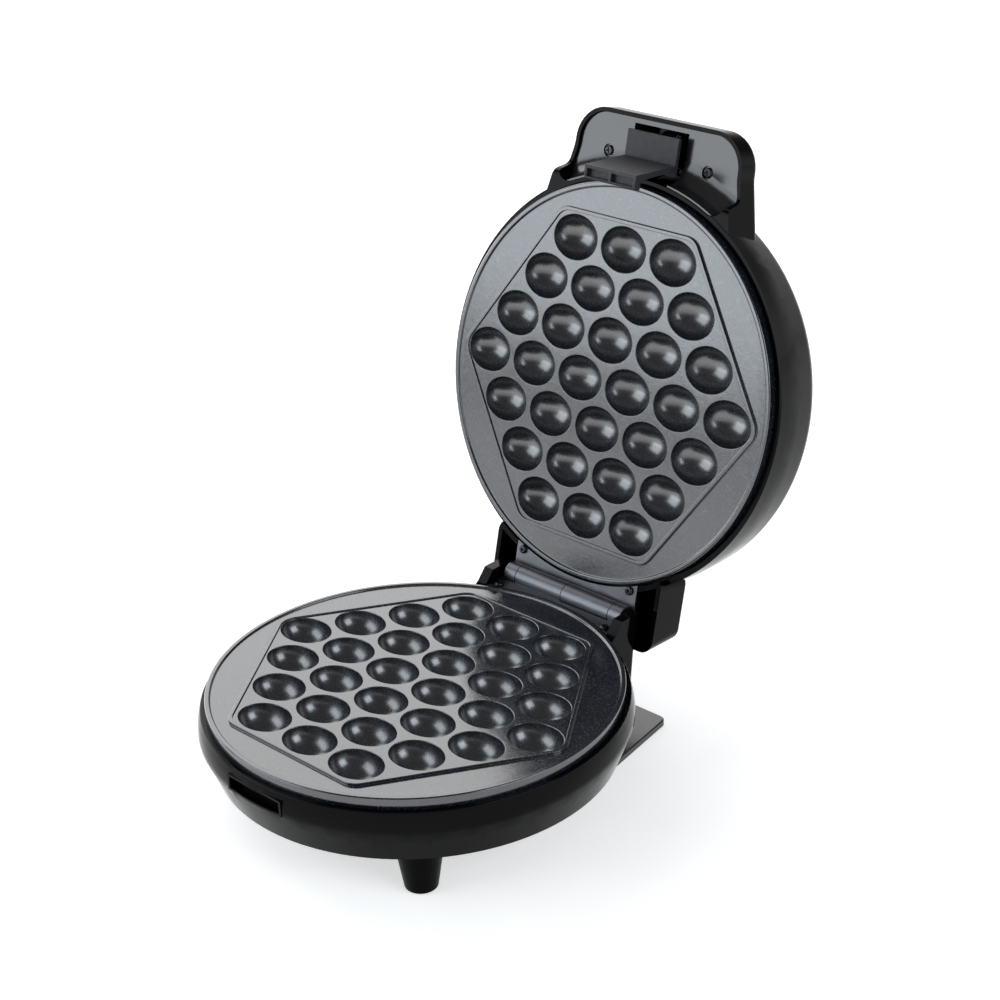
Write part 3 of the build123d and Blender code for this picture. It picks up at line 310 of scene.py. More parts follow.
def clear_plastic_material(name, colour):
    """Tinted see-through moulding for the indicator lenses."""
    material, tree, shader, coords = start_material(name)
    tree.links.new(vary(tree, coords, 200.0, *shades(colour, 0.9, 1.0)), shader.inputs["Base Color"])
    shader.inputs["Transmission Weight"].default_value = 0.6
    tree.links.new(vary(tree, coords, 400.0, 0.08, 0.16), shader.inputs["Roughness"])
    return material


MATERIALS = {}


def make_materials(colours):
    """Makes every finish once and keeps them under their names."""
    leaf_run, even = (0.3, 1.0, 1.0), (1.0, 1.0, 1.0)
    pin_run, sheet_run = (0.1, 1.0, 1.0), (0.2, 1.0, 1.0)
    metal, satin = brushed_metal_material, satin_plastic_material
    MATERIALS["coating"] = coated_plate_material("speckled_nonstick_coating", colours)
    for key, maker, name, *settings in (
        ("housing", glossy_plastic_material, "glossy_black_housing", tuple(colours.housing)),
        ("panel", glossy_plastic_material, "polished_handle_panel", tuple(colours.panel), 0.17, 0.26, 0.8),
        ("latch", satin, "satin_latch_plastic", tuple(colours.latch), 0.42, 1400.0, 0.25),
        ("foot", satin, "satin_black_foot", (0.0015, 0.0015, 0.0015), 0.3, 900.0, 0.04),
        ("stand", glossy_plastic_material, "dark_stand_plastic", tuple(colours.stand), 0.2, 0.3, 0.5),
        ("cover", satin, "black_cover_plastic", (0.012, 0.012, 0.012), 0.5, 700.0),
        ("rubber", rubber_material, "matt_rubber", (0.018, 0.018, 0.018)),
        ("hinge", metal, "rolled_hinge_steel", tuple(colours.steel), leaf_run, 0.3, 0.44, 420.0),
        ("screw", metal, "blackened_screw_steel", tuple(colours.screw), even, 0.22, 0.36, 900.0),
        ("pin", metal, "turned_pin_steel", (0.5, 0.5, 0.52), pin_run, 0.15, 0.25),
        ("shield", metal, "pressed_shield_sheet", (0.7, 0.71, 0.73), sheet_run, 0.3, 0.5),
        ("element", metal, "scaled_element_tube", (0.2, 0.18, 0.17), even, 0.4, 0.6),
        ("spring", metal, "spring_strip", (0.4, 0.41, 0.43), pin_run),
        ("terminal", satin, "off_white_terminal_plastic", (0.6, 0.58, 0.52), 0.5, 800.0),
        ("lens", clear_plastic_material, "red_lens_plastic", (0.35, 0.02, 0.012)),
        ("lamp", clear_plastic_material, "lamp_glass", (0.8, 0.45, 0.3)),
    ):
        MATERIALS[key] = maker(name, *settings)


# Nodes that are shown as they are packed, and their finishes
CAD_FINISHES = {
    "bottom_cover": "cover",
    "foot_pads": "rubber",
    "hinge_pin": "pin",
    "latch_pin": "pin",
    "lower_heat_shield": "shield",
    "upper_heat_shield": "shield",
    "lower_heating_element": "element",
    "upper_heating_element": "element",
    "thermostat": "shield",
    "thermal_fuse": "shield",
    "terminal_block": "terminal",
    "indicator_lenses": "lens",
    "indicator_lamps": "lamp",
}


# Mesh helpers


def in_mm(value):
    """A length of the sidebar, in the millimetres in which shapes are drawn."""
    return value / MM


def link(name, mesh):
    made = bpy.data.objects.new(name, mesh)
    bpy.context.scene.collection.objects.link(made)
    return made


def new_piece(name, mesh, body, material, slot_name, *nodes):
    """Links a finished mesh as a piece that rides on a body and stands for the named nodes."""
    piece = link(name, mesh)
    mesh.name = name
    mesh.materials.clear()
    mesh.materials.append(MATERIALS[material])
    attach(piece, body)
    if nodes:
        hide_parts(*nodes)
    return piece


def applied(mesh, kind, settings):
    """The mesh with one modifier applied."""
    carrier = link("carrier", mesh)
    modifier = carrier.modifiers.new(kind.lower(), kind)
    for name, value in settings.items():
        setattr(modifier, name, value)
    result = evaluated_mesh(carrier)
    bpy.data.objects.remove(carrier)
    return result


def evaluated_mesh(carrier):
    bpy.context.view_layer.update()
    graph = bpy.context.evaluated_depsgraph_get()
    finished = carrier.evaluated_get(graph)
    return bpy.data.meshes.new_from_object(finished, preserve_all_data_layers=True, depsgraph=graph)


def shade(mesh, sharp_above=35.0):
    """Smooth shading that keeps flat faces flat and edges above an angle sharp."""
    mesh.shade_smooth()
    mesh.set_sharp_from_angle(angle=math.radians(sharp_above))
    return applied(mesh, "WEIGHTED_NORMAL", {"keep_sharp": True, "weight": 80})


def oval(half_length, half_width, rise, count, middle=(0.0, 0.0)):
    """Points of a level ellipse, anticlockwise from above."""
    x, y = middle
    turns = (2 * math.pi * i / count for i in range(count))
    return [(x + half_length * math.cos(a), y + half_width * math.sin(a), rise) for a in turns]


def circle(radius, rise, count, middle=(0.0, 0.0)):
    return oval(radius, radius, rise, count, middle)


def arc(middle, radius, start, end, steps):
    """Flat (radius, rise) points of an arc between two angles in degrees, ends included."""
    turns = (math.radians(start + (end - start) * i / steps) for i in range(steps + 1))
    return [(middle[0] + radius * math.cos(a), middle[1] + radius * math.sin(a)) for a in turns]


def add_loop(bm, points):
    return [bm.verts.new(p) for p in points]


def bridge(bm, lower, upper):
    """Quads between two anticlockwise loops of the same count, facing out when the second is higher."""
    count = len(lower)
    for i in range(count):
        j = (i + 1) % count
        bm.faces.new((lower[i], lower[j], upper[j], upper[i]))


def bridge_all(bm, loops):
    for lower, upper in zip(loops, loops[1:]):
        bridge(bm, lower, upper)


def close_up(bm, loop, point, facing_up=True):
    """Fan of triangles from a loop to a point."""
    pole = bm.verts.new(point)
    for i, here in enumerate(loop):
        ahead = loop[(i + 1) % len(loop)]
        bm.faces.new((here, ahead, pole) if facing_up else (ahead, here, pole))


def fill_flat(bm, outer, holes, facing_up=True):
    """Fills a level region between a bulging outer loop and bulging holes, on the loops' own vertices."""
    loops = [outer, *holes]
    verts = [v for loop in loops for v in loop]
    owner = [n for n, loop in enumerate(loops) for _ in loop]
    edges = []
    start = 0
    for loop in loops:
        edges += [(start + i, start + (i + 1) % len(loop)) for i in range(len(loop))]
        start += len(loop)
    flat = [Vector((v.co.x, v.co.y)) for v in verts]
    _, _, triangles, originals, _, _ = delaunay_2d_cdt(flat, edges, [], 0, 1e-7)
    for triangle in triangles:
        places = [originals[i][0] for i in triangle]
        loops_met = {owner[i] for i in places}
        if len(loops_met) == 1 and 0 not in loops_met:
            continue
        corners = [verts[i] for i in places]
        bm.faces.new(corners if facing_up else corners[::-1])


def mesh_from(bm, name, placing=None):
    mesh = bpy.data.meshes.new(name)
    bm.to_mesh(mesh)
    bm.free()
    if placing is not None:
        mesh.transform(placing)
    return mesh


def is_closed(mesh):
    """Whether every edge joins two faces."""
    bm = bmesh.new()
    bm.from_mesh(mesh)
    closed = all(len(edge.link_faces) == 2 for edge in bm.edges)
    bm.free()
    return closed


# Geometry Nodes helpers


def start_tree(name, inputs):
    """A geometry tree with named inputs, as (name, kind, default) triples."""
    tree = bpy.data.node_groups.new(name, "GeometryNodeTree")
    tree.is_modifier = True
    tree.interface.new_socket("Geometry", in_out="INPUT", socket_type="NodeSocketGeometry")
    for label, kind, default in inputs:
        socket = tree.interface.new_socket(label, in_out="INPUT", socket_type=kind)
        if default is not None:
            socket.default_value = default
    tree.interface.new_socket("Geometry", in_out="OUTPUT", socket_type="NodeSocketGeometry")
    return tree, add_node(tree, "NodeGroupInput").outputs, add_node(tree, "NodeGroupOutput").inputs


def run_tree(tree, mesh, values):
    """The mesh that a tree makes from a mesh and its named inputs."""
    carrier = link("carrier", mesh)
    modifier = carrier.modifiers.new(tree.name, "NODES")
    modifier.node_group = tree
    for item in tree.interface.items_tree:
        if item.item_type == "SOCKET" and item.in_out == "INPUT" and item.name in values:
            modifier[item.identifier] = values[item.name]
    result = evaluated_mesh(carrier)
    carrier.modifiers.clear()
    bpy.data.objects.remove(carrier)
    return result


# Cooking plates, drawn in millimetres with the land between the cups at zero

PLATE_RADIUS = 95.0
BODY_RADIUS = 88.5
FLANGE_FOOT = -5.5
LIP_INSIDE = 92.6
LIP_RISE = 0.3
LIP_ROUND = 0.7
FOOT_ROUND = 0.5
SEAT_RADIUS = 8.2
SEAT_FOOT = -19.7
GROOVE_CIRCLE = 62.0
GROOVE_RADIUS = 3.3
GROOVE_MIDDLE = -15.5
BOSS_CIRCLE = 79.0
BOSS_RADIUS = 5.0
BOSS_HOLE = 1.45
BOSS_HOLE_END = -11.95
BEAD_SIDE = 77.3
BEAD_SIDE_HALF = 39.2
BEAD_POINT = 89.6
BEAD_CORNER = 8.5
BEAD_HALF = 0.9
BEAD_ROUND = 0.35
BEAD_FOOT = 0.25
BEAD_INNER_FOOT = 0.05
PLATE_FLOOR = 2.5


def bead_outline(half_side, rise, corner_steps=7):
    """Points of the rounded hexagon at one distance from the middle to its flat side."""
    scale = half_side / BEAD_SIDE
    side, point = BEAD_SIDE_HALF * scale, BEAD_POINT * scale
    corners = [Vector(c) for c in ((point, 0), (side, half_side), (-side, half_side))]
    corners += [-c for c in corners]
    points = []
    for n, corner in enumerate(corners):
        to_last = (corners[n - 1] - corner).normalized()
        to_next = (corners[(n + 1) % 6] - corner).normalized()
        half_angle = to_last.angle(to_next) / 2
        middle = corner + (to_last + to_next).normalized() * (BEAD_CORNER / math.sin(half_angle))
        first = corner + to_last * (BEAD_CORNER / math.tan(half_angle)) - middle
        sweep = math.pi - 2 * half_angle
        for step in range(corner_steps + 1):
            turned = Matrix.Rotation(sweep * step / corner_steps, 2) @ first
            points.append((middle.x + turned.x, middle.y + turned.y, rise))
    return points


def cup_places(sizes):
    """Middles of the cups, in rows from the hinge to the handle."""
    places = []
    for row, count in enumerate(CUP_ROWS):
        y = (len(CUP_ROWS) // 2 - row) * in_mm(sizes.row_pitch)
        places += [((n - (count - 1) / 2) * in_mm(sizes.cup_pitch), y) for n in range(count)]
    return places


def cup_rings(sizes):
    """(half length, half width, depth) of the rings of a cup, from the land to above its bottom."""
    half_length, half_width = in_mm(sizes.cup_length) / 2, in_mm(sizes.cup_width) / 2
    depth, edge = in_mm(sizes.cup_depth), in_mm(sizes.cup_round)
    rings = []
    for step in range(6):
        a = math.radians(90 * step / 5)
        out = edge * (1 - math.sin(a))
        rings.append((half_length + out, half_width + out, -edge * (1 - math.cos(a))))
    start = math.asin(edge / depth)
    steps = 14
    for step in range(1, steps):
        a = start + (math.pi / 2 - start) * step / steps
        rings.append((half_length * math.cos(a), half_width * math.cos(a), -depth * math.sin(a)))
    return rings


def cup_bowl(sizes):
    """One oval cup, whose first ring fits a hole in the land."""
    bm = bmesh.new()
    loops = [add_loop(bm, oval(*ring, sizes.cup_segments)) for ring in cup_rings(sizes)]
    bridge_all(bm, loops)
    close_up(bm, loops[-1], (0, 0, -in_mm(sizes.cup_depth)))
    mesh = mesh_from(bm, "cup_bowl")
    hollow = mesh.attributes.new("hollow", "FLOAT", "POINT")
    for vert, value in zip(mesh.vertices, hollow.data):
        value.value = min(1.0, -vert.co.z)
    return mesh


def casting(sizes):
    """A plate without its cups, open at their mouths."""
    bm = bmesh.new()
    count = sizes.plate_segments
    body_foot = -in_mm(sizes.cup_depth) - PLATE_FLOOR
    brim = -in_mm(sizes.brim_drop)
    top = in_mm(sizes.bead_height)

    # Underside, from the middle outwards
    reach = math.sqrt(GROOVE_RADIUS**2 - (body_foot - GROOVE_MIDDLE) ** 2)
    opening = math.degrees(math.atan2(body_foot - GROOVE_MIDDLE, reach))
    groove = arc((GROOVE_CIRCLE, GROOVE_MIDDLE), GROOVE_RADIUS, 180 - opening, opening, 8)
    inner = [(SEAT_RADIUS, SEAT_FOOT), (SEAT_RADIUS, body_foot), *groove]
    loops = [add_loop(bm, circle(r, z, count)) for r, z in inner]
    close_up(bm, loops[0], (0, 0, SEAT_FOOT), facing_up=False)
    bridge_all(bm, loops)

    # Flange, edge, raised lip and its inner wall
    outer = [(BODY_RADIUS, body_foot), (BODY_RADIUS, FLANGE_FOOT), (PLATE_RADIUS, FLANGE_FOOT)]
    outer += arc((PLATE_RADIUS - LIP_ROUND, LIP_RISE - LIP_ROUND), LIP_ROUND, 0, 90, 5)
    outer += arc((LIP_INSIDE + LIP_ROUND, LIP_RISE - LIP_ROUND), LIP_ROUND, 90, 180, 5)
    outer += arc((LIP_INSIDE - FOOT_ROUND, brim + FOOT_ROUND), FOOT_ROUND, 0, -90, 3)
    rim = [add_loop(bm, circle(r, z, count)) for r, z in outer]
    bridge_all(bm, rim)

    # Bosses under the plate for its screws
    feet = []
    for quarter in range(4):
        a = math.radians(45 + 90 * quarter)
        middle = (BOSS_CIRCLE * math.cos(a), BOSS_CIRCLE * math.sin(a))
        foot = add_loop(bm, circle(BOSS_RADIUS, body_foot, 32, middle))
        end = add_loop(bm, circle(BOSS_RADIUS, SEAT_FOOT, 32, middle))
        mouth = add_loop(bm, circle(BOSS_HOLE, SEAT_FOOT, 32, middle))
        bottom = add_loop(bm, circle(BOSS_HOLE, BOSS_HOLE_END, 32, middle))
        bridge_all(bm, [bottom, mouth, end, foot])
        close_up(bm, bottom, (*middle, BOSS_HOLE_END), facing_up=False)
        feet.append(foot)
    fill_flat(bm, rim[0], [loops[-1], *feet], facing_up=False)

    # Brim, hexagonal bead and land
    side = BEAD_SIDE
    section = arc((side + BEAD_HALF + BEAD_FOOT, brim + BEAD_FOOT), BEAD_FOOT, -90, -180, 3)
    section += arc((side + BEAD_HALF - BEAD_ROUND, top - BEAD_ROUND), BEAD_ROUND, 0, 90, 5)
    section += arc((side - BEAD_HALF + BEAD_ROUND, top - BEAD_ROUND), BEAD_ROUND, 90, 180, 5)
    section += [(side - BEAD_HALF - BEAD_INNER_FOOT, 0.0)]
    bead = [add_loop(bm, bead_outline(half_side, rise)) for half_side, rise in section]
    bridge_all(bm, bead)
    fill_flat(bm, rim[-1], [bead[0]])
    first = cup_rings(sizes)[0]
    mouths = [add_loop(bm, oval(*first, sizes.cup_segments, middle)) for middle in cup_places(sizes)]
    fill_flat(bm, bead[-1], mouths)
    return mesh_from(bm, "plate_casting")


def cup_field_tree():
    """Sets cups in a hexagon of staggered rows, joins them to the casting and closes the seam."""
    tree, given, made = start_tree(
        "cup_field",
        [
            ("Bowl", "NodeSocketObject", None),
            ("Cup Pitch", "NodeSocketFloat", 29.2),
            ("Row Pitch", "NodeSocketFloat", 21.55),
            ("Rows", "NodeSocketInt", 7),
            ("Middle Cups", "NodeSocketInt", 6),
            ("Coating", "NodeSocketMaterial", None),
        ],
    )
    columns = maths(tree, "SUBTRACT", maths(tree, "MULTIPLY", given["Middle Cups"], 2.0), 1.0)
    farthest = maths(tree, "SUBTRACT", given["Middle Cups"], 1.0)
    wide = maths(tree, "MULTIPLY", farthest, given["Cup Pitch"])
    deep = maths(tree, "MULTIPLY", maths(tree, "SUBTRACT", given["Rows"], 1.0), given["Row Pitch"])
    grid = add_node(
        tree,
        "GeometryNodeMeshGrid",
        {"Size X": wide, "Size Y": deep, "Vertices X": columns, "Vertices Y": given["Rows"]},
    ).outputs["Mesh"]
    position = add_node(tree, "GeometryNodeInputPosition").outputs[0]
    place = add_node(tree, "ShaderNodeSeparateXYZ", {0: position})
    across = maths(tree, "DIVIDE", place.outputs["X"], maths(tree, "MULTIPLY", given["Cup Pitch"], 0.5))
    along = maths(tree, "DIVIDE", place.outputs["Y"], given["Row Pitch"])
    steps = maths(
        tree,
        "ADD",
        maths(tree, "ABSOLUTE", maths(tree, "ROUND", across)),
        maths(tree, "ABSOLUTE", maths(tree, "ROUND", along)),
    )
    in_hexagon = maths(tree, "LESS_THAN", steps, maths(tree, "ADD", farthest, 0.5))
    staggered = maths(tree, "GREATER_THAN", maths(tree, "MODULO", steps, 2.0), 0.5)
    keep = maths(tree, "MULTIPLY", in_hexagon, staggered)
    points = add_node(tree, "GeometryNodeMeshToPoints", {"Mesh": grid, "Selection": keep}).outputs[0]
    bowl = add_node(tree, "GeometryNodeObjectInfo", {"Object": given["Bowl"], "As Instance": True})
    cups = add_node(
        tree, "GeometryNodeInstanceOnPoints", {"Points": points, "Instance": bowl.outputs["Geometry"]}
    ).outputs[0]
    real = add_node(tree, "GeometryNodeRealizeInstances", {"Geometry": cups}).outputs[0]
    joined = add_node(tree, "GeometryNodeJoinGeometry")
    tree.links.new(real, joined.inputs[0])
    tree.links.new(given["Geometry"], joined.inputs[0])
    welded = add_node(
        tree, "GeometryNodeMergeByDistance", {"Geometry": joined.outputs[0], "Distance": 0.002}
    ).outputs[0]
    coated = add_node(
        tree, "GeometryNodeSetMaterial", {"Geometry": welded, "Material": given["Coating"]}
    ).outputs[0]
    tree.links.new(coated, made["Geometry"])
    return tree


# Screws, made by one tree from a point at each head

SCREW_TIP = 1.2
SHANK_RADIUS = 1.4
HEAD_HEIGHT, SMALL_HEAD_HEIGHT = 1.4, 1.2
SMALL_RECESS = 0.8
HEAD_TOP_DEPTH = 0.4
# Shares of the head's height or radius, of the shank's radius, or of the recess's reach
CROWN_SHARE = 0.62
RECESS_WIDTH, RECESS_DEPTH, RECESS_FOOT = 0.24, 0.75, 0.62
TIP_SHARE = 0.78 * 0.3


def screw_shape(radius, head_height, length, reach):
    """Pan-head screw along Z with its top at zero and a cross recess, in millimetres."""
    bm = bmesh.new()
    count = 32
    flat, crown = radius * CROWN_SHARE, head_height * CROWN_SHARE
    half = reach * RECESS_WIDTH
    depth = head_height * RECESS_DEPTH
    outline = [(SHANK_RADIUS * TIP_SHARE, -length), (SHANK_RADIUS, -length + SCREW_TIP)]
    outline += [(SHANK_RADIUS, -head_height), (radius, -head_height), (radius, -crown)]
    outline += [
        (flat + (radius - flat) * math.cos(a), -crown * (1 - math.sin(a)))
        for a in (math.radians(15 * step) for step in range(1, 7))
    ]
    loops = [add_loop(bm, circle(r, z, count)) for r, z in outline]
    close_up(bm, loops[0], (0, 0, -length), facing_up=False)
    bridge_all(bm, loops)
    corners = [(reach, -half), (reach, half), (half, half), (half, reach), (-half, reach), (-half, half)]
    corners += [(-x, -y) for x, y in corners]
    top = add_loop(bm, [(x, y, 0) for x, y in corners])
    bottom = add_loop(bm, [(x * RECESS_FOOT, y * RECESS_FOOT, -depth) for x, y in corners])
    fill_ring(bm, loops[-1], top)
    bridge(bm, top, bottom)
    close_up(bm, bottom, (0, 0, -depth))
    return shade(mesh_from(bm, "pan_head_screw"), 40.0)


def fill_ring(bm, outer, inner):
    """Fills between two level loops of any shape, each seen from the middle without a fold."""

    def turn(vert):
        return math.atan2(vert.co.y, vert.co.x) % (2 * math.pi)

    outer = sorted(outer, key=turn)
    inner = sorted(inner, key=turn)
    i = j = 0
    while i < len(outer) or j < len(inner):
        ahead_outer = turn(outer[(i + 1) % len(outer)]) + (2 * math.pi if i + 1 >= len(outer) else 0)
        ahead_inner = turn(inner[(j + 1) % len(inner)]) + (2 * math.pi if j + 1 >= len(inner) else 0)
        here, there = outer[i % len(outer)], inner[j % len(inner)]
        if j >= len(inner) or (i < len(outer) and ahead_outer <= ahead_inner):
            bm.faces.new((here, outer[(i + 1) % len(outer)], there))
            i += 1
        else:
            bm.faces.new((here, inner[(j + 1) % len(inner)], there))
            j += 1


def screw_set_tree():
    """Sets a screw at every point, faced along a direction and turned about its own axis at random."""
    tree, given, made = start_tree(
        "screw_set",
        [
            ("Screw", "NodeSocketObject", None),
            ("Facing", "NodeSocketVector", (0.0, 0.0, 1.0)),
            ("Seed", "NodeSocketInt", 3),
            ("Metal", "NodeSocketMaterial", None),
        ],
    )
    faced = add_node(
        tree, "FunctionNodeAlignRotationToVector", {"Factor": 1.0, "Vector": given["Facing"]}, axis="Z"
    ).outputs[0]
    spin = add_node(
        tree,
        "FunctionNodeRandomValue",
        {"Min": (0.0, 0.0, -1.5), "Max": (0.0, 0.0, 1.5), "Seed": given["Seed"]},
        data_type="FLOAT_VECTOR",
    ).outputs[0]
    turned = add_node(
        tree, "FunctionNodeRotateRotation", {"Rotation": faced, "Rotate By": spin}, rotation_space="LOCAL"
    ).outputs[0]
    screw = add_node(tree, "GeometryNodeObjectInfo", {"Object": given["Screw"], "As Instance": True})
    points = add_node(tree, "GeometryNodeMeshToPoints", {"Mesh": given["Geometry"]}).outputs[0]
    screws = add_node(
        tree,
        "GeometryNodeInstanceOnPoints",
        {"Points": points, "Instance": screw.outputs["Geometry"], "Rotation": turned},
    ).outputs[0]
    real = add_node(tree, "GeometryNodeRealizeInstances", {"Geometry": screws}).outputs[0]
    finished = add_node(
        tree, "GeometryNodeSetMaterial", {"Geometry": real, "Material": given["Metal"]}
    ).outputs[0]
    tree.links.new(finished, made["Geometry"])
    return tree


def middle_of(points):
    """The mean of a list of points."""
    return sum(points, Vector()) / len(points)


def islands(node):
    """Corners of each separate solid of a node, in the order of the solids' middles, to the millimetre."""
    bm = bmesh.new()
    bm.from_mesh(frame["nodes"][node].data)
    bmesh.ops.remove_doubles(bm, verts=bm.verts, dist=SAME_POINT)
    bm.verts.index_update()
    seen = set()
    found = []
    for start in bm.verts:
        if start.index in seen:
            continue
        seen.add(start.index)
        group = [start]
        for vert in group:
            for edge in vert.link_edges:
                other = edge.other_vert(vert)
                if other.index not in seen:
                    seen.add(other.index)
                    group.append(other)
        group.sort(key=lambda vert: vert.index)
        found.append([vert.co.copy() for vert in group])
    bm.free()
    return sorted(found, key=lambda points: tuple(round(value, 3) for value in middle_of(points).xy))


UP = Vector((0, 0, 1))
DOWNWARDS = Vector((0, 0, -1))
LID_OUT = (LID_TURN.to_3x3() @ UP).normalized()

SCREW_NODES = {
    "base_hinge_screws": ("base", UP),
    "bottom_cover_screws": ("base", DOWNWARDS),
    "foot_screws": ("base", DOWNWARDS),
    "rear_stand_screws": ("base", DOWNWARDS),
    "lower_plate_screws": ("base", DOWNWARDS),
    "handle_screws": ("lid", -LID_OUT),
    "lid_hinge_screws": ("lid", -LID_OUT),
    "upper_plate_screws": ("lid", LID_OUT),
}


# Moulded pieces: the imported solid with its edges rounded

# Body, finish, material slot, and width of the rounding in millimetres
SOFT_NODES = {
    "lid_housing": ("lid", "housing", "black_housing", 0.45),
    "base_housing": ("base", "housing", "black_housing", 0.35),
    "latch_lever": ("latch", "latch", "latch_plastic", 0.5),
    "handle_panel": ("lid", "panel", "handle_panel", 0.25),
    "rear_stand": ("base", "stand", "dark_stand", 0.3),
    "base_hinge_leaf": ("base", "hinge", "hinge_steel", 0.5),
    "lid_hinge_leaf": ("lid", "hinge", "hinge_steel", 0.5),
    "front_feet": ("base", "foot", "black_feet", 0.3),
    "cord_gland": ("base", "rubber", "rubber_pads", 0.2),
}


# Nodes whose rounding meets itself in the slots, where its doubled points are joined
WELDED_NODES = ("base_hinge_leaf", "lid_hinge_leaf")


def softened(node, width):
    """A copy of a node's solid, its facets joined and its sharp edges rounded by a width in millimetres."""
    bm = bmesh.new()
    bm.from_mesh(frame["nodes"][node].data)
    bmesh.ops.remove_doubles(bm, verts=bm.verts, dist=SAME_POINT)
    bmesh.ops.dissolve_limit(bm, angle_limit=math.radians(0.6), verts=bm.verts, edges=bm.edges)
    mesh = mesh_from(bm, node)
    mesh.shade_smooth()
    rounding = {
        "width": width * MM,
        "segments": 2,
        "limit_method": "ANGLE",
        "angle_limit": math.radians(38),
        "use_clamp_overlap": True,
    }
    mesh = applied(mesh, "BEVEL", rounding)
    if node in WELDED_NODES:
        bm = bmesh.new()
        bm.from_mesh(mesh)
        bmesh.ops.remove_doubles(bm, verts=bm.verts, dist=WELD)
        mesh = mesh_from(bm, node)
    return shade(mesh, 50.0)


class WAFFLE_OT_finish_frame(bpy.types.Operator):
    """Give every node that is shown as it is packed its finish"""

    bl_idname = "waffle.finish_frame"
    bl_label = "Finish Carried-Over Nodes"

    def execute(self, context):
        for node, finish in CAD_FINISHES.items():
            slots = frame["nodes"][node].data.materials
            slots.clear()
            slots.append(MATERIALS[finish])
        return {"FINISHED"}


class WAFFLE_OT_cast_plates(bpy.types.Operator):
    """Cast the lower and the upper cooking plate, with their cups, beads and lips"""

    bl_idname = "waffle.cast_plates"
    bl_label = "Cooking Plates"

    def execute(self, context):
        sizes = context.scene.waffle_sizes
        bowl = link("cup_bowl", cup_bowl(sizes))
        tree = cup_field_tree()
        for name, node, body, placing in (
            ("lower_cooking_plate", "lower_plate", "base", DOWN),
            ("upper_cooking_plate", "upper_plate", "lid", ON_LID @ TURN_OVER),
        ):
            plate = run_tree(
                tree,
                casting(sizes),
                {
                    "Bowl": bowl,
                    "Cup Pitch": in_mm(sizes.cup_pitch),
                    "Row Pitch": in_mm(sizes.row_pitch),
                    "Rows": len(CUP_ROWS),
                    "Middle Cups": max(CUP_ROWS),
                    "Coating": MATERIALS["coating"],
                },
            )
            if not is_closed(plate):
                raise RuntimeError(f"{name} is not closed")
            plate.transform(placing)
            new_piece(name, shade(plate), body, "coating", "nonstick_plate", node)
        bpy.data.objects.remove(bowl)
        bpy.data.node_groups.remove(tree)
        return {"FINISHED"}


class WAFFLE_OT_drive_screws(bpy.types.Operator):
    """Put a pan-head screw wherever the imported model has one"""

    bl_idname = "waffle.drive_screws"
    bl_label = "Screws"

    def execute(self, context):
        sizes = context.scene.waffle_sizes
        tree = screw_set_tree()
        for seed, (node, (body, facing)) in enumerate(SCREW_NODES.items()):
            heads, length = [], 0.0
            for points in islands(node):
                heights = [p.dot(facing) for p in points]
                top = max(heights)
                near = [p for p, h in zip(points, heights) if h > top - HEAD_TOP_DEPTH * MM]
                across = middle_of([p - facing * p.dot(facing) for p in near])
                heads.append(across + facing * top)
                length = top - min(heights)
            small = "hinge" in node
            radius = sizes.hinge_screw_radius if small else sizes.screw_radius
            reach = sizes.recess_reach * (SMALL_RECESS if small else 1.0)
            head = SMALL_HEAD_HEIGHT if small else HEAD_HEIGHT
            screw = screw_shape(in_mm(radius), head, in_mm(length), in_mm(reach))
            screw.transform(Matrix.Scale(MM, 4))
            pattern = link("screw_pattern", screw)
            places = bpy.data.meshes.new("screw_places")
            places.from_pydata(heads, [], [])
            made = run_tree(
                tree,
                places,
                {"Screw": pattern, "Facing": facing, "Seed": seed, "Metal": MATERIALS["screw"]},
            )
            bpy.data.objects.remove(pattern)
            new_piece(f"{node[:-1]}_heads", made, body, "screw", "screw_steel", node)
        bpy.data.node_groups.remove(tree)
        return {"FINISHED"}


class WAFFLE_OT_soften_mouldings(bpy.types.Operator):
    """Round the edges of the housings, the handle's panel, the latch, the supports and the hinge leaves"""

    bl_idname = "waffle.soften_mouldings"
    bl_label = "Mouldings"

    def execute(self, context):
        for node, (body, material, slot_name, width) in SOFT_NODES.items():
            new_piece(f"{node}_moulding", softened(node, width), body, material, slot_name, node)
        return {"FINISHED"}


class WAFFLE_OT_bend_spring(bpy.types.Operator):
    """Copy the latch's spring as a strip of its own with its finish, in place of the imported node"""

    bl_idname = "waffle.bend_spring"
    bl_label = "Latch Spring"

    def execute(self, context):
        node = frame["nodes"]["latch_spring"]
        mesh = node.data.copy()
        mesh.transform(node.matrix_world)
        strip = link("latch_spring_strip", mesh)
        mesh.name = strip.name
        mesh.materials.clear()
        mesh.materials.append(MATERIALS["spring"])
        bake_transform(strip)
        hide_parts("latch_spring")
        return {"FINISHED"}


# Camera about the lower plate in millimetres, and its directions; lamps and floor in metres
CAMERA_EYE = (611.1, -579.3, 497.5)
CAMERA_RIGHT = (0.7323, 0.6804, -0.0306)
CAMERA_UP = (-0.2771, 0.3387, 0.8992)
CAMERA_LENS, SENSOR_WIDTH = 77.68, 36
FLOOR_REACH = 6.0
LAMP_DISTANCE = 1.9
LAMP_AIM = (0, 0, 0.08)
HAZE_FOOT, HAZE_TOP = 3, 22


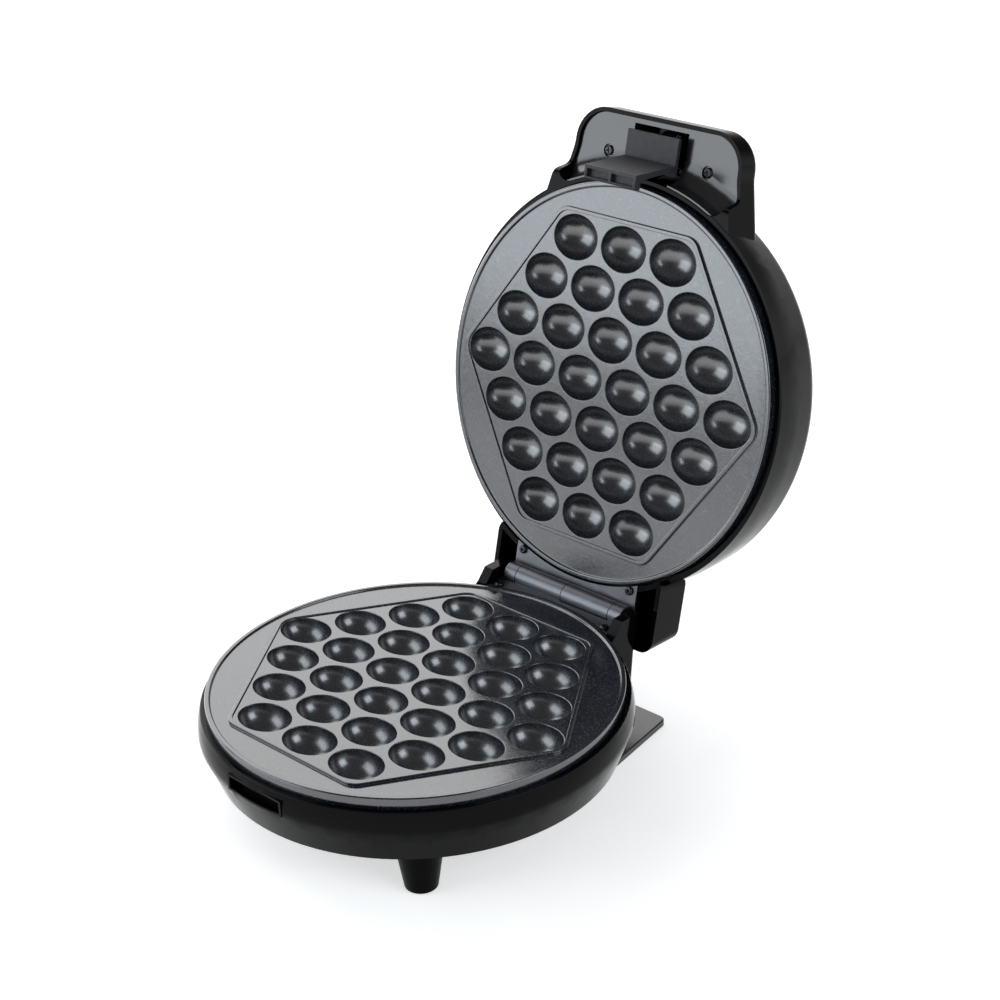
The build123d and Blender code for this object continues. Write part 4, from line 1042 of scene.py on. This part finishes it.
class WAFFLE_OT_build_stage(bpy.types.Operator):
    """Add the camera, the pale floor, the surround and the softboxes"""

    bl_idname = "waffle.build_stage"
    bl_label = "Studio"

    def execute(self, context):
        studio = context.scene.waffle_studio
        daylight = tuple(context.scene.waffle_colours.daylight)
        place_camera(context.scene)
        floor_mesh = bpy.data.meshes.new("floor")
        corners = [(x * FLOOR_REACH, y * FLOOR_REACH, 0) for x, y in ((-1, -1), (1, -1), (1, 1), (-1, 1))]
        floor_mesh.from_pydata(corners, [], [(0, 1, 2, 3)])
        floor_mesh.materials.append(floor_material(studio))
        link("floor", floor_mesh)
        surround(context.scene, studio)
        plain = (1, 1, 1)
        softbox("rear_left_softbox", (126, 190), (15, 55), studio.left, plain)
        softbox("front_left_softbox", (-146, -104), (2, 42), studio.front, daylight)
        softbox("right_softbox", (-14, 22), (14, 42), studio.right, daylight)
        softbox("low_left_strip", (160, 206), (-2, 12), studio.strip, plain)
        context.scene.view_settings.view_transform = "Standard"
        return {"FINISHED"}


def place_camera(scene):
    """A camera where the photograph was taken from."""
    eye = PLATE_ORIGIN + Vector(CAMERA_EYE) * MM
    right = Vector(CAMERA_RIGHT).normalized()
    back = right.cross(Vector(CAMERA_UP)).normalized()
    up = back.cross(right)
    data = bpy.data.cameras.new("photograph_view")
    data.sensor_width = SENSOR_WIDTH
    data.lens = CAMERA_LENS
    data.clip_start = 0.01
    camera = bpy.data.objects.new("photograph_view", data)
    scene.collection.objects.link(camera)
    camera.matrix_world = Matrix.Translation(eye) @ Matrix((right, up, back)).transposed().to_4x4()
    scene.camera = camera


def softbox(name, azimuths, elevations, level, colour):
    """A soft lamp that fills a patch of the surround, given by its azimuths and elevations in degrees."""
    azimuth, elevation = (math.radians(sum(pair) / 2) for pair in (azimuths, elevations))
    half_wide, half_high = (math.radians((pair[1] - pair[0]) / 2) for pair in (azimuths, elevations))
    level_reach = math.cos(elevation)
    outward = Vector(
        (math.cos(azimuth) * level_reach, math.sin(azimuth) * level_reach, math.sin(elevation))
    )
    data = bpy.data.lights.new(name, "AREA")
    data.shape = "RECTANGLE"
    data.size = 2 * LAMP_DISTANCE * math.tan(half_wide)
    data.size_y = 2 * LAMP_DISTANCE * math.tan(half_high)
    data.energy = level * math.pi * data.size * data.size_y
    data.color = colour
    lamp = bpy.data.objects.new(name, data)
    bpy.context.scene.collection.objects.link(lamp)
    lamp.location = Vector(LAMP_AIM) + outward * LAMP_DISTANCE
    lamp.rotation_euler = (-outward).to_track_quat("-Z", "Y").to_euler()
    lamp.visible_camera = False


def seen_rays(tree):
    """One for rays from the camera, and for those mirrored by or passing through a surface."""
    rays = add_node(tree, "ShaderNodeLightPath").outputs
    mirrored = maths(tree, "MAXIMUM", rays["Is Glossy Ray"], rays["Is Transmission Ray"])
    return maths(tree, "MAXIMUM", rays["Is Camera Ray"], mirrored)


def surround(scene, studio):
    """White at eye level and grey overhead where it is seen, with an even fill for everything else."""
    world = bpy.data.worlds.new("studio_surround")
    scene.world = world
    world.use_nodes = True
    tree = world.node_tree
    tree.nodes.clear()
    coords = add_node(tree, "ShaderNodeTexCoord").outputs["Generated"]
    height = add_node(tree, "ShaderNodeSeparateXYZ", {0: coords}).outputs["Z"]
    spread = add_node(
        tree,
        "ShaderNodeMapRange",
        {
            "Value": height,
            "From Min": math.sin(math.radians(HAZE_FOOT)),
            "From Max": math.sin(math.radians(HAZE_TOP)),
            "To Min": studio.horizon,
            "To Max": studio.overhead,
        },
        interpolation_type="SMOOTHSTEP",
    ).outputs[0]
    white = (1, 1, 1, 1)
    even = add_node(tree, "ShaderNodeBackground", {"Color": white, "Strength": studio.fill}).outputs[0]
    seen = add_node(tree, "ShaderNodeBackground", {"Color": white, "Strength": spread}).outputs[0]
    mixed = add_node(tree, "ShaderNodeMixShader", {0: seen_rays(tree), 1: even, 2: seen}).outputs[0]
    add_node(tree, "ShaderNodeOutputWorld", {"Surface": mixed})


def floor_material(studio):
    """Pale paper that is seen as white away from the shadow it keeps."""
    material = bpy.data.materials.new("pale_floor")
    material.use_nodes = True
    tree = material.node_tree
    tree.nodes.clear()
    coords = add_node(tree, "ShaderNodeTexCoord").outputs["Object"]
    paper = vary(tree, coords, 30.0, 0.8, 0.84)
    diffuse = add_node(tree, "ShaderNodeBsdfDiffuse", {"Color": paper}).outputs[0]
    lift = maths(tree, "MULTIPLY", seen_rays(tree), studio.floor_lift)
    glow = add_node(tree, "ShaderNodeEmission", {"Color": (1, 1, 1, 1), "Strength": lift}).outputs[0]
    both = add_node(tree, "ShaderNodeAddShader", {0: diffuse, 1: glow}).outputs[0]
    add_node(tree, "ShaderNodeOutputMaterial", {"Surface": both})
    return material


class WAFFLE_PT_panel(bpy.types.Panel):
    """Lists the sizes, colours and operators"""

    bl_idname = "WAFFLE_PT_panel"
    bl_label = "Bubble Waffle Maker"
    bl_space_type = "VIEW_3D"
    bl_region_type = "UI"
    bl_category = "Waffle Maker"

    def draw(self, context):
        layout = self.layout
        scene = context.scene
        for title, group in (
            ("Sizes", scene.waffle_sizes),
            ("Colours", scene.waffle_colours),
            ("Studio", scene.waffle_studio),
        ):
            box = layout.box()
            box.label(text=title)
            for name in group.__annotations__:
                box.prop(group, name)
        for operator in OPERATORS:
            layout.operator(operator.bl_idname)


OPERATORS = (
    WAFFLE_OT_finish_frame,
    WAFFLE_OT_cast_plates,
    WAFFLE_OT_drive_screws,
    WAFFLE_OT_soften_mouldings,
    WAFFLE_OT_bend_spring,
    WAFFLE_OT_build_stage,
)
CLASSES = (WaffleSizes, WaffleColours, WaffleStudio, *OPERATORS, WAFFLE_PT_panel)


def register():
    for cls in CLASSES:
        bpy.utils.register_class(cls)
    bpy.types.Scene.waffle_sizes = PointerProperty(type=WaffleSizes)
    bpy.types.Scene.waffle_colours = PointerProperty(type=WaffleColours)
    bpy.types.Scene.waffle_studio = PointerProperty(type=WaffleStudio)


def unregister():
    del bpy.types.Scene.waffle_studio
    del bpy.types.Scene.waffle_colours
    del bpy.types.Scene.waffle_sizes
    for cls in reversed(CLASSES):
        bpy.utils.unregister_class(cls)


def main():
    """Registers the add-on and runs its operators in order."""
    register()
    scene = bpy.context.scene
    make_materials(scene.waffle_colours)
    bpy.ops.waffle.finish_frame()
    bpy.ops.waffle.cast_plates()
    bpy.ops.waffle.drive_screws()
    bpy.ops.waffle.soften_mouldings()
    bpy.ops.waffle.bend_spring()
    bpy.ops.waffle.build_stage()


if __name__ == "__main__":
    main()
